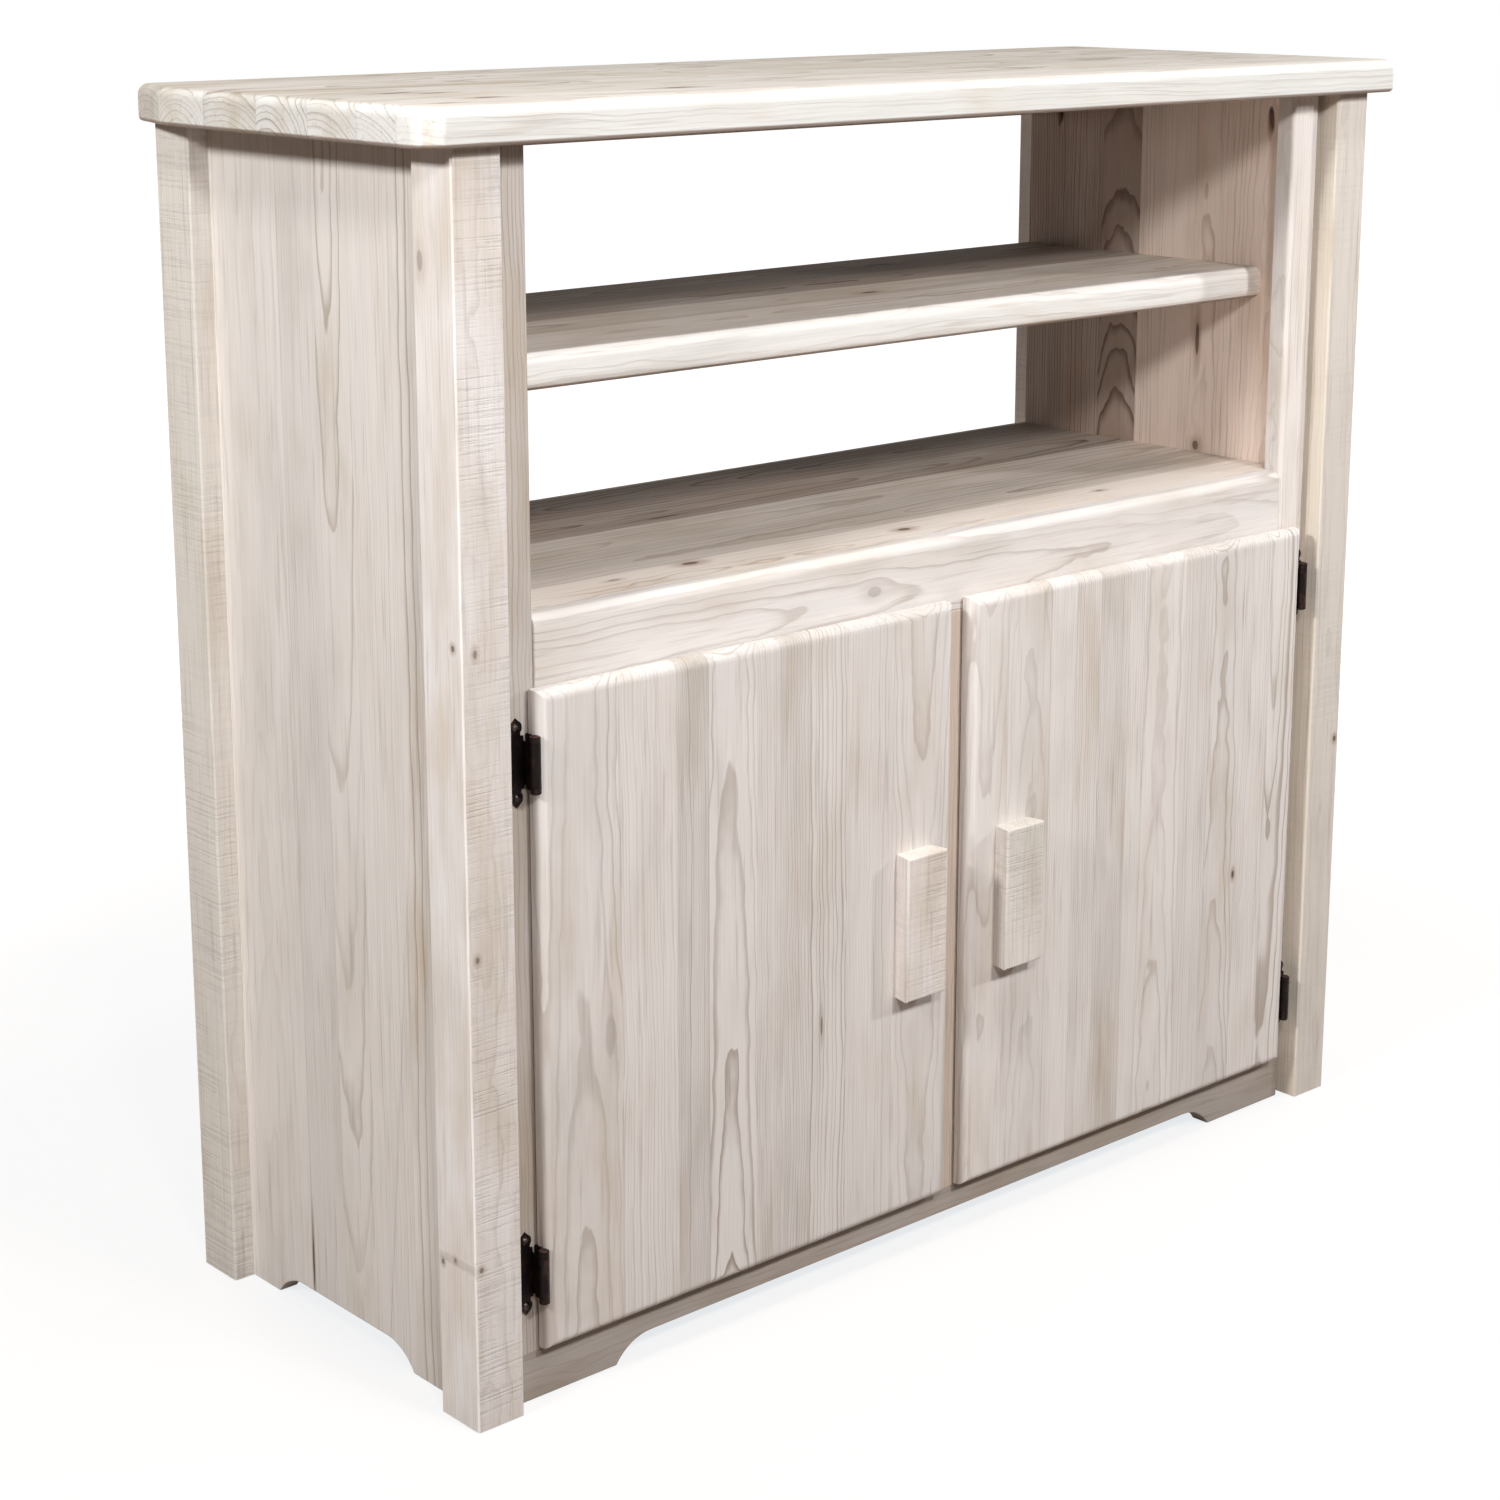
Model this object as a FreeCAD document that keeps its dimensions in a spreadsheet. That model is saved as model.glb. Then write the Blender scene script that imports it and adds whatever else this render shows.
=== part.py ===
import FreeCAD, Part
import math
import os
from types import SimpleNamespace

import Sketcher

# A free-standing pine media cabinet: an open bay with one shelf over a two-door cupboard.
# Millimetres. The origin lies on the floor under the middle of the cabinet, +X runs to the
# right, +Y to the back and +Z up, so the doors and handles face -Y.

# Driving sizes: alias, value, meaning.
SIZES = [
    ("case_wide", 1070.0, "outside of the left posts to outside of the right posts"),
    ("case_deep", 408.0, "front of the front posts to back of the back posts"),
    ("post_tall", 1005.0, "floor to the underside of the top board"),
    ("post_wide", 45.0, "post section along X"),
    ("post_deep", 50.0, "post section along Y"),
    ("post_bevel", 1.5, "bevel of the posts' long edges"),
    ("top_thick", 30.0, "top board"),
    ("top_over_side", 33.0, "top board beyond the posts at each side"),
    ("top_over_front", 15.5, "top board beyond the posts at the front"),
    ("top_over_back", 2.0, "top board beyond the posts at the back"),
    ("corner_cut", 15.0, "legs of the clipped corners of the top board"),
    ("long_cut_side", 18.0, "leg along X of the long clipped corner, back left"),
    ("long_cut_deep", 70.0, "leg along Y of the long clipped corner, back left"),
    ("top_corner_round", 12.0, "radius of the top board's upright edges"),
    ("top_upper_round", 9.0, "radius of its upper edge"),
    ("top_lower_round", 4.0, "radius of its lower edge"),
    ("panel_recess", 19.0, "side panels behind the posts' outer faces"),
    ("panel_thick", 18.0, "side panels"),
    ("groove_deep", 8.0, "how far a side panel enters a post"),
    ("wall_thick", 17.5, "inner side walls"),
    ("wall_low", 20.5, "lower end of the inner side walls above the floor"),
    ("back_recess", 33.0, "inner side walls' back edge before the posts' back"),
    ("frame_setback", 16.0, "face frame behind the posts' front"),
    ("frame_thick", 19.0, "stiles and rails"),
    ("frame_gap", 10.0, "between the face frame and the right post"),
    ("stile_wide", 34.5, "outer stiles"),
    ("stile_round", 4.0, "radius of the stiles' edges beside an opening"),
    ("middle_stile_wide", 52.0, "stile behind the meeting doors"),
    ("middle_stile_x", -2.0, "its centre line"),
    ("bottom_rail_tall", 41.5, "bottom rail"),
    ("middle_rail_tall", 67.0, "rail in front of the deck"),
    ("rail_round", 9.0, "radius of the middle rail's upper front edge"),
    ("arch_tall", 19.5, "height of the cut-outs along the floor"),
    ("arch_round", 45.0, "radius of their ends"),
    ("rail_foot", 145.0, "end of the bottom rail to the straight part of its cut-out"),
    ("panel_foot_front", 103.0, "front post to the straight part of a side cut-out"),
    ("panel_foot_back", 79.0, "back post to the straight part of a side cut-out"),
    ("deck_thick", 20.0, "the deck, the board over the cupboard"),
    ("deck_tongue", 12.0, "thickness of the tongues at its ends"),
    ("upper_bay_tall", 167.0, "open bay above its shelf"),
    ("lower_bay_tall", 160.5, "open bay between the deck and its shelf"),
    ("shelf_thick", 30.0, "that shelf"),
    ("shelf_setback", 70.0, "shelf behind the posts' front"),
    ("shelf_round", 10.0, "radius of the shelf's front edges"),
    ("shelf_peg_inset", 60.0, "shelf's dowels from its front and back edges"),
    ("housing_deep", 6.0, "how far the deck's tongues and the floor enter the inner walls"),
    ("floor_thick", 15.0, "cupboard floor"),
    ("back_panel_thick", 6.0, "cupboard back"),
    ("back_rail_thick", 18.0, "both back rails"),
    ("back_top_rail_tall", 36.0, "upper back rail"),
    ("back_low_rail_tall", 70.0, "lower back rail"),
    ("tenon_thick", 8.0, "tenons along Y"),
    ("tenon_long", 12.0, "how far a tenon enters its mortise"),
    ("tenon_shoulder", 6.0, "tenon narrower than its piece at each edge"),
    ("door_post_gap", 25.5, "between a post and the hinge edge of its door"),
    ("door_middle_lap", 15.0, "doors over the middle stile's edges"),
    ("door_low_gap", 4.5, "between the bottom rail and the doors"),
    ("door_high_lap", 11.5, "doors over the middle rail's lower edge"),
    ("lip_thick", 13.0, "door lip in front of the face frame"),
    ("inset_thick", 8.0, "part of a door that enters its opening"),
    ("inset_clear", 3.0, "between that part and its opening"),
    ("door_standoff", 3.0, "between the lip and the face frame"),
    ("door_round", 9.0, "radius of the doors' front edges"),
    ("left_handle_inset", 47.0, "centre of the left handle from its door's free edge"),
    ("right_handle_inset", 54.0, "centre of the right handle from its door's free edge"),
    ("handle_drop", 3.5, "centres of the handles below the doors' middle"),
    ("handle_wide", 48.5, "front face of a handle along X"),
    ("handle_tall", 130.0, "handles"),
    ("handle_deep", 18.0, "handles, from the door's face to their front"),
    ("handle_taper", 3.6, "handle narrower at the door, each side"),
    ("handle_round", 2.0, "radius of a handle's front edges"),
    ("handle_screw_gap", 80.0, "between the two screws of a handle"),
    ("handle_screw_bite", 12.0, "handle screw inside the handle"),
    ("handle_screw_radius", 2.2, "handle screws"),
    ("handle_head_radius", 4.5, "their heads"),
    ("handle_head_tall", 2.4, "their heads"),
    ("pin_beside", 3.0, "hinge pins from the doors' hinge edges"),
    ("pin_out", 15.0, "hinge pins in front of the face frame"),
    ("pin_radius", 1.7, "hinge pins"),
    ("pin_play", 0.05, "radial running clearance on the hinge pins"),
    ("pin_head_radius", 4.0, "rounded ends of the hinge pins"),
    ("pin_head_tall", 1.4, "rounded ends of the hinge pins"),
    ("knuckle_radius", 4.4, "hinge barrels"),
    ("middle_knuckle_tall", 34.0, "frame leaf's knuckle"),
    ("end_knuckle_tall", 5.0, "each of the door leaf's knuckles"),
    ("knuckle_gap", 0.3, "between knuckles along the pin"),
    ("barrel_clear", 0.5, "door leaf around the frame leaf's knuckle"),
    ("leaf_thick", 1.6, "hinge leaves"),
    ("leaf_beside", 0.9, "inner edge of a frame leaf from the hinge pin, outwards"),
    ("leaf_wide", 13.8, "frame leaves"),
    ("leaf_waist_tall", 42.0, "full-width part of a frame leaf"),
    ("lobe_radius", 5.6, "ends of a frame leaf around its screws"),
    ("neck_wide", 8.0, "frame leaf between the full width and an end"),
    ("tip_side", 6.0, "side of the square whose corner is the leaf's tip"),
    ("tip_rise", 31.3, "middle of that square from the middle of the hinge"),
    ("leaf_screw_rise", 28.0, "frame leaf's screws from the middle of the hinge"),
    ("door_leaf_reach", 11.0, "door leaf behind the lip"),
    ("door_leaf_play", 0.2, "between the door's edge and its leaf"),
    ("door_screw_in", 5.5, "door leaf's screws from the door's edge"),
    ("door_screw_rise", 14.0, "door leaf's screws from the middle of the hinge"),
    ("upper_hinge_inset", 57.2, "middle of the upper hinges below the doors' upper edge"),
    ("lower_hinge_inset", 66.0, "middle of the lower hinges above the doors' lower edge"),
    ("screw_radius", 1.6, "hinge and back panel screws"),
    ("screw_head_radius", 3.5, "their heads"),
    ("screw_head_tall", 2.0, "their heads"),
    ("leaf_screw_long", 16.0, "frame leaf screws under the head"),
    ("door_screw_long", 10.0, "door leaf screws, head included"),
    ("back_screw_long", 20.0, "back panel screws under the head"),
    ("back_screw_first", 39.5, "lowest back panel screws above the lower back rail"),
    ("back_screw_last", 27.5, "highest ones in the inner walls below the deck"),
    ("back_screw_rows", 4.0, "back panel screws in each inner wall"),
    ("back_screw_spread", 240.0, "between the back panel screws in the deck"),
    ("pocket_radius", 4.3, "screw pockets in the inner walls"),
    ("pocket_angle", 15.0, "their slope from upright, in degrees"),
    ("pocket_drop", 30.5, "middle of a pocket's mouth below the top board"),
    ("pocket_deep", 16.0, "pocket from the middle of its mouth to its shoulder"),
    ("pocket_front", 30.0, "front pockets from the inner wall's front edge"),
    ("pocket_back", 40.0, "back pockets from the inner wall's back edge"),
    ("pocket_screw_radius", 1.8, "screws in the pockets"),
    ("pocket_screw_long", 36.0, "screws in the pockets under the head"),
    ("pocket_head_radius", 3.8, "their heads"),
    ("pocket_head_tall", 2.4, "their heads"),
    ("post_dowel_radius", 5.0, "dowels from the posts into the top board"),
    ("post_dowel_half", 20.0, "half their length"),
    ("board_dowel_radius", 4.0, "dowels of the shelf and the back rails"),
    ("board_dowel_half", 12.0, "half their length"),
    ("top_dowel_spread", 9.0, "upper back rail's dowels from its middle"),
    ("low_dowel_spread", 20.0, "lower back rail's dowels from its middle"),
    ("hole_play", 0.05, "radial clearance of fixed pins, screws and dowels"),
    ("wood_play", 0.15, "clearance of tongues, housings and tenons, each side"),
    ("end_play", 0.5, "room past the end of a tongue, tenon, dowel or screw"),
]

doc = FreeCAD.newDocument("cabinet")
sheet = doc.addObject("Spreadsheet::Sheet", "Sizes")


class Size:
    """A length as an expression on the sheet's cells, with its present value."""

    def __init__(self, text, value):
        self.text = text
        self.value = value

    def joined(self, sign, other, value):
        return Size("(%s %s %s)" % (self.text, sign, other.text), value)

    def __add__(self, other):
        other = as_size(other)
        return self.joined("+", other, self.value + other.value)

    def __radd__(self, other):
        return as_size(other) + self

    def __sub__(self, other):
        other = as_size(other)
        return self.joined("-", other, self.value - other.value)

    def __rsub__(self, other):
        return as_size(other) - self

    def __mul__(self, other):
        other = as_size(other)
        return self.joined("*", other, self.value * other.value)

    def __rmul__(self, other):
        return as_size(other) * self

    def __truediv__(self, other):
        other = as_size(other)
        return self.joined("/", other, self.value / other.value)

    def __neg__(self):
        return as_size(0) - self


def as_size(number):
    """Give a plain number the form of a Size."""
    if isinstance(number, Size):
        return number
    return Size(repr(float(number)), float(number))


def sine(angle):
    """Sine of an angle kept in degrees."""
    return Size("sin(%s * 1 deg)" % angle.text, math.sin(math.radians(angle.value)))


def cosine(angle):
    """Cosine of an angle kept in degrees."""
    return Size("cos(%s * 1 deg)" % angle.text, math.cos(math.radians(angle.value)))


def fill_sheet():
    """Write the driving sizes into the sheet and return them by name."""
    named = {}
    for row, (alias, value, note) in enumerate(SIZES, start=1):
        sheet.set("A%d" % row, note)
        sheet.set("B%d" % row, str(value))
        sheet.setAlias("B%d" % row, alias)
        named[alias] = Size("Sizes." + alias, value)
    doc.recompute()
    return SimpleNamespace(**named)


size = fill_sheet()

# Planes that several pieces share.
SIDE = size.case_wide / 2
INNER = SIDE - size.post_wide
DOOR_PROUD = size.lip_thick + size.door_standoff - size.frame_setback
FRONT = (DOOR_PROUD + size.handle_deep - size.top_over_back - size.case_deep) / 2
BACK = FRONT + size.case_deep
POST_REAR = FRONT + size.post_deep
POST_FORE = BACK - size.post_deep
PANEL_OUT = SIDE - size.panel_recess
PANEL_IN = PANEL_OUT - size.panel_thick
WALL = INNER - size.wall_thick
REAR = BACK - size.back_recess
PANEL_REAR = REAR + size.back_panel_thick
FRAME_FRONT = FRONT + size.frame_setback
FRAME_BACK = FRAME_FRONT + size.frame_thick
FRAME_RIGHT = INNER - size.frame_gap
OPEN_LEFT = size.stile_wide - INNER
OPEN_RIGHT = FRAME_RIGHT - size.stile_wide
STILE_LEFT = size.middle_stile_x - size.middle_stile_wide / 2
STILE_RIGHT = size.middle_stile_x + size.middle_stile_wide / 2
OPENINGS = {-1: (OPEN_LEFT, STILE_LEFT), 1: (STILE_RIGHT, OPEN_RIGHT)}
SHELF_LOW = size.post_tall - size.upper_bay_tall - size.shelf_thick
SHELF_MIDDLE = SHELF_LOW + size.shelf_thick / 2
SHELF_FRONT = FRONT + size.shelf_setback
DECK_TOP = SHELF_LOW - size.lower_bay_tall
DECK_LOW = DECK_TOP - size.deck_thick
RAIL_LOW = DECK_TOP - size.middle_rail_tall
FLOOR_TOP = size.bottom_rail_tall + size.floor_thick
DOOR_LOW = size.bottom_rail_tall + size.door_low_gap
DOOR_HIGH = RAIL_LOW + size.door_high_lap
DOOR_OUT = INNER - size.door_post_gap
DOOR_MEETS = {-1: STILE_LEFT + size.door_middle_lap, 1: STILE_RIGHT - size.door_middle_lap}
LIP_BACK = FRAME_FRONT - size.door_standoff
DOOR_FRONT = LIP_BACK - size.lip_thick
INSET_BACK = LIP_BACK + size.inset_thick
PIN_X = DOOR_OUT + size.pin_beside
PIN_Y = FRAME_FRONT - size.pin_out
POST_X = SIDE - size.post_wide / 2
POST_ROWS = {"front": (FRONT, POST_REAR), "back": (POST_FORE, BACK)}
TENON_Y = (
    FRAME_FRONT + (size.frame_thick - size.tenon_thick) / 2,
    FRAME_FRONT + (size.frame_thick + size.tenon_thick) / 2,
)
WALL_MIDDLE = WALL + size.wall_thick / 2
TOP_RAIL_Y = REAR + size.back_rail_thick / 2
TOP_RAIL_Z = size.post_tall - size.back_top_rail_tall / 2
LOW_RAIL_Y = PANEL_REAR + size.back_rail_thick / 2
LOW_RAIL_Z = size.wall_low + size.back_low_rail_tall / 2
SHELF_PEG_ROWS = (SHELF_FRONT + size.shelf_peg_inset, REAR - size.shelf_peg_inset)
POCKET_ROWS = (FRAME_BACK + size.pocket_front, REAR - size.pocket_back)
POCKET_MOUTH = size.post_tall - size.pocket_drop
HINGE_HEIGHTS = {"upper": DOOR_HIGH - size.upper_hinge_inset, "lower": DOOR_LOW + size.lower_hinge_inset}
MIDDLE_HALF = size.middle_knuckle_tall / 2
BARREL_HALF = MIDDLE_HALF + size.knuckle_gap + size.end_knuckle_tall
LEAF_IN = PIN_X + size.leaf_beside
LEAF_OUT = LEAF_IN + size.leaf_wide
LEAF_X = LEAF_IN + size.leaf_wide / 2
DOOR_SCREW_X = DOOR_OUT - size.door_screw_in
HANDLE_X = {-1: DOOR_MEETS[-1] - size.left_handle_inset, 1: DOOR_MEETS[1] + size.right_handle_inset}
HANDLE_Z = (DOOR_LOW + DOOR_HIGH) / 2 - size.handle_drop
BACK_SCREW_FIRST = size.wall_low + size.back_low_rail_tall + size.back_screw_first
BACK_SCREW_LAST = DECK_LOW - size.back_screw_last
DECK_SCREW_Z = DECK_TOP - size.deck_thick / 2

SIDES = {"left": -1, "right": 1}
AXIS_TURN = {
    "X": FreeCAD.Rotation(FreeCAD.Vector(0, 1, 0), 90),
    "Y": FreeCAD.Rotation(FreeCAD.Vector(1, 0, 0), -90),
    "Z": FreeCAD.Rotation(),
}
subparts = []


def keep(name, item):
    """Name a finished sub-part."""
    item.Label = name
    subparts.append(item)


def bind(item, **lengths):
    """Bind properties of an object to expressions on the sheet."""
    for name, length in lengths.items():
        item.setExpression(name.replace("__", "."), as_size(length).text)


def place(item, x, y, height):
    """Bind the position of an object to the sheet."""
    bind(item, Placement__Base__x=x, Placement__Base__y=y, Placement__Base__z=height)


def span(sign, low, high):
    """A span along X on the right side, or its mirror image on the left."""
    if sign > 0:
        return (as_size(low), as_size(high))
    return (-as_size(high), -as_size(low))


def block(x_span, y_span, z_span):
    """A box between three pairs of planes."""
    item = doc.addObject("Part::Box", "Block")
    bind(item, Length=x_span[1] - x_span[0], Width=y_span[1] - y_span[0], Height=z_span[1] - z_span[0])
    place(item, x_span[0], y_span[0], z_span[0])
    return item


def rod(radius, length, x, y, height, axis="Z"):
    """A cylinder that runs from a point along an axis."""
    item = doc.addObject("Part::Cylinder", "Rod")
    bind(item, Radius=radius, Height=length)
    item.Placement.Rotation = AXIS_TURN[axis]
    place(item, x, y, height)
    return item


def side_rod(radius, sign, low, high, y, height):
    """A cylinder along X between two distances from the middle plane, on one side."""
    ends = span(sign, low, high)
    return rod(radius, ends[1] - ends[0], ends[0], y, height, "X")


def leaning_rod(radius, length, sign, along, y):
    """A cylinder on the axis of a screw pocket, from a distance along it past the mouth."""
    item = doc.addObject("Part::Cylinder", "LeaningRod")
    bind(item, Radius=radius, Height=length)
    item.Placement.Rotation = FreeCAD.Rotation(FreeCAD.Vector(0, sign, 0), size.pocket_angle.value)
    item.setExpression("Placement.Rotation.Angle", size.pocket_angle.text + " * 1 deg")
    place(item, sign * (WALL + along * sine(size.pocket_angle)), y,
          POCKET_MOUTH + along * cosine(size.pocket_angle))
    return item


def cap(radius, tall, x, y, height, turn):
    """A spherical cap whose flat side is centred on a point and whose top faces turn's Z."""
    ball = (radius * radius + tall * tall) / (2 * tall)
    sunk = ball - tall
    item = doc.addObject("Part::Sphere", "Cap")
    bind(item, Radius=ball)
    item.setExpression("Angle1", "asin(%s / %s)" % (sunk.text, ball.text))
    item.Placement.Rotation = turn
    top = turn.multVec(FreeCAD.Vector(0, 0, 1))
    place(item, x - sunk * round(top.x), y - sunk * round(top.y), height - sunk * round(top.z))
    return item


def fused(pieces):
    """One solid from touching pieces."""
    item = doc.addObject("Part::MultiFuse", "Joined")
    item.Shapes = pieces
    item.Refine = True
    return item


def without(base, tools):
    """A piece less its cutting tools."""
    for tool in tools:
        item = doc.addObject("Part::Cut", "Cut")
        item.Base = base
        item.Tool = tool
        base = item
    return base


def group(pieces):
    """Separate solids that share one node."""
    item = doc.addObject("Part::Compound", "Group")
    item.Links = pieces
    return item


def level(box, axis, length):
    """Whether an edge lies wholly at one place on an axis."""
    low, high = {"X": (box.XMin, box.XMax), "Y": (box.YMin, box.YMax), "Z": (box.ZMin, box.ZMax)}[axis]
    target = as_size(length).value
    return abs(low - target) < 0.01 and abs(high - target) < 0.01


def runs(box, axis):
    """Whether an edge is a line along one axis."""
    lengths = {"X": box.XLength, "Y": box.YLength, "Z": box.ZLength}
    return all(length < 0.01 for name, length in lengths.items() if name != axis)


def edges_where(item, wanted):
    """Numbers of the edges whose bounding box meets a condition."""
    doc.recompute()
    return [number for number, edge in enumerate(item.Shape.Edges, start=1) if wanted(edge.BoundBox)]


def rounded(base, wanted, radius):
    """A piece with chosen edges rounded."""
    item = doc.addObject("Part::Fillet", "Rounded")
    item.Base = base
    item.Edges = [(number, radius.value, radius.value) for number in edges_where(base, wanted)]
    return item


def bevelled(base, wanted, leg):
    """A piece with chosen edges bevelled."""
    item = doc.addObject("Part::Chamfer", "Bevelled")
    item.Base = base
    item.Edges = [(number, leg.value, leg.value) for number in edges_where(base, wanted)]
    return item


def body_at(name, x, y, height):
    """A design body whose place is bound to the sheet."""
    body = doc.addObject("PartDesign::Body", name)
    place(body, x, y, height)
    return body


def outline(body, role, corners):
    """A closed sketch of straight lines on one of a body's own planes, bound to the sheet."""
    sketch = body.newObject("Sketcher::SketchObject", "Outline")
    plane = next(item for item in body.Origin.OriginFeatures if item.Role == role)
    sketch.AttachmentSupport = [(plane, "")]
    sketch.MapMode = "FlatFace"
    points = [(as_size(along), as_size(up)) for along, up in corners]
    count = len(points)
    places = [FreeCAD.Vector(along.value, up.value, 0) for along, up in points]
    for index in range(count):
        sketch.addGeometry(Part.LineSegment(places[index], places[(index + 1) % count]), False)
    for index in range(count):
        sketch.addConstraint(Sketcher.Constraint("Coincident", index, 2, (index + 1) % count, 1))
    for index, (along, up) in enumerate(points):
        for kind, length in (("DistanceX", along), ("DistanceY", up)):
            number = sketch.addConstraint(Sketcher.Constraint(kind, -1, 1, index, 1, length.value))
            name = "%s%d" % (kind, index)
            sketch.renameConstraint(number, name)
            sketch.setExpression("Constraints." + name, length.text)
    return sketch


def rectangle(along_span, up_span):
    """The corners of a rectangle."""
    left, right = along_span
    low, high = up_span
    return [(left, low), (right, low), (right, high), (left, high)]


def padded(body, sketch, length, backwards=False):
    """A sketch raised to a thickness."""
    pad = body.newObject("PartDesign::Pad", "Raised")
    pad.Profile = sketch
    pad.Reversed = backwards
    bind(pad, Length=length)
    doc.recompute()
    return pad


def body_rounded(body, base, wanted, radius):
    """A design feature with chosen edges rounded."""
    feature = body.newObject("PartDesign::Fillet", "Rounded")
    feature.Base = (base, ["Edge%d" % number for number in edges_where(base, wanted)])
    bind(feature, Radius=radius)
    doc.recompute()
    return feature


def mortise_span(low, high, play):
    """The width of a tenon between a piece's edges, or of its mortise."""
    return (low + size.tenon_shoulder - play, high - size.tenon_shoulder + play)


def tenon_rows(play):
    """The thickness of a tenon along Y, or of its mortise."""
    return (TENON_Y[0] - play, TENON_Y[1] + play)


def post_places():
    """Side, row and centre of each post."""
    for side, sign in SIDES.items():
        for row, y_span in POST_ROWS.items():
            yield side, sign, row, y_span, (y_span[0] + y_span[1]) / 2


def build_top_board():
    """The top board with clipped corners, rounded edges, dowel holes and screw holes."""
    edge_x = SIDE + size.top_over_side
    edge_y = (FRONT - size.top_over_front, BACK + size.top_over_back)
    corners = [
        (size.corner_cut - edge_x, edge_y[0]),
        (edge_x - size.corner_cut, edge_y[0]),
        (edge_x, edge_y[0] + size.corner_cut),
        (edge_x, edge_y[1] - size.corner_cut),
        (edge_x - size.corner_cut, edge_y[1]),
        (size.long_cut_side - edge_x, edge_y[1]),
        (-edge_x, edge_y[1] - size.long_cut_deep),
        (-edge_x, edge_y[0] + size.corner_cut),
    ]
    body = body_at("TopBoard", 0, 0, size.post_tall)
    board = padded(body, outline(body, "XY_Plane", corners), size.top_thick)
    board = body_rounded(body, board, lambda box: runs(box, "Z"), size.top_corner_round)
    board = body_rounded(body, board, lambda box: level(box, "Z", size.top_thick), size.top_upper_round)
    board = body_rounded(body, board, lambda box: level(box, "Z", 0), size.top_lower_round)
    holes = []
    for side, sign, row, y_span, middle in post_places():
        holes.append(rod(size.post_dowel_radius + size.hole_play, size.post_dowel_half + size.end_play,
                         sign * POST_X, middle, size.post_tall))
    for sign in SIDES.values():
        for y in POCKET_ROWS:
            holes.append(pocket_screw_bore(sign, y))
    keep("top_board", without(body, holes))


def build_posts():
    """Four square posts with a groove for the side panel and holes for their dowels."""
    for side, sign, row, y_span, middle in post_places():
        post = block(span(sign, INNER, SIDE), y_span, (as_size(0), size.post_tall))
        post = bevelled(post, lambda box: runs(box, "Z"), size.post_bevel)
        depth = size.groove_deep + size.end_play
        groove_y = (POST_REAR - depth, POST_REAR) if row == "front" else (POST_FORE, POST_FORE + depth)
        groove_x = span(sign, PANEL_IN - size.wood_play, PANEL_OUT + size.wood_play)
        hole_deep = size.post_dowel_half + size.end_play
        cuts = [
            block(groove_x, groove_y, (as_size(0), size.post_tall)),
            rod(size.post_dowel_radius + size.hole_play, hole_deep, sign * POST_X, middle,
                size.post_tall - hole_deep),
        ]
        if row == "back":
            cuts += back_rail_holes(sign, INNER, INNER + size.board_dowel_half + size.end_play)
        keep("%s_%s_post" % (row, side), without(post, cuts))


def back_rail_dowel_places():
    """Rail, Y and height of each dowel at one end of the back rails."""
    for turn in (-1, 1):
        yield "top", TOP_RAIL_Y, TOP_RAIL_Z + turn * size.top_dowel_spread
        yield "low", LOW_RAIL_Y, LOW_RAIL_Z + turn * size.low_dowel_spread


def back_rail_holes(sign, low, high, rails=("top", "low")):
    """Holes for the back rails' dowels between two distances from the middle plane."""
    radius = size.board_dowel_radius + size.hole_play
    return [side_rod(radius, sign, low, high, y, height)
            for rail, y, height in back_rail_dowel_places() if rail in rails]


def build_back_rails():
    """The two rails between the back posts."""
    x_span = (-INNER, INNER)
    rails = {
        "top": block(x_span, (REAR, REAR + size.back_rail_thick),
                     (size.post_tall - size.back_top_rail_tall, size.post_tall)),
        "low": block(x_span, (PANEL_REAR, PANEL_REAR + size.back_rail_thick),
                     (size.wall_low, size.wall_low + size.back_low_rail_tall)),
    }
    depth = size.board_dowel_half + size.end_play
    for name, rail in rails.items():
        holes = []
        for sign in SIDES.values():
            holes += back_rail_holes(sign, INNER - depth, INNER, [name])
        keep("back_%s_rail" % name, without(rail, holes))


def floor_arch(axis, straight, across):
    """The cutter of a low arch along the floor with rounded ends."""
    radius = size.arch_round
    centre = size.arch_tall - radius
    heights = (centre, size.arch_tall)
    thick = across[1] - across[0]
    if axis == "X":
        middle = block(straight, across, heights)
        ends = [rod(radius, thick, end, across[0], centre, "Y") for end in straight]
    else:
        middle = block(across, straight, heights)
        ends = [rod(radius, thick, across[0], end, centre, "X") for end in straight]
    return fused([middle] + ends)


def build_side_panels():
    """The outer side panels, tongued into the posts and arched along the floor."""
    for side, sign in SIDES.items():
        x_span = span(sign, PANEL_IN, PANEL_OUT)
        panel = block(x_span, (POST_REAR - size.groove_deep, POST_FORE + size.groove_deep),
                      (as_size(0), size.post_tall))
        straight = (POST_REAR + size.panel_foot_front, POST_FORE - size.panel_foot_back)
        keep("%s_side_panel" % side, without(panel, [floor_arch("Y", straight, x_span)]))


def pocket_bore(sign, y):
    """A screw pocket that opens in an inner wall's face."""
    return leaning_rod(size.pocket_radius, 2 * size.pocket_deep, sign, -size.pocket_deep, y)


def pocket_screw_bore(sign, y):
    """The hole for a pocket's screw above its shoulder."""
    return leaning_rod(size.pocket_screw_radius + size.hole_play,
                       size.pocket_screw_long + size.end_play, sign, size.pocket_deep, y)


def housing(sign, z_span):
    """A housing along an inner wall for the end of a board."""
    return block(span(sign, WALL, WALL + size.housing_deep + size.end_play), (FRAME_BACK, REAR),
                 (z_span[0] - size.wood_play, z_span[1] + size.wood_play))


def back_screw_places():
    """X and height of each back panel screw in the inner walls."""
    rows = int(size.back_screw_rows.value)
    step = (BACK_SCREW_LAST - BACK_SCREW_FIRST) / (rows - 1)
    for sign in SIDES.values():
        for row in range(rows):
            yield sign, BACK_SCREW_FIRST + row * step


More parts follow.
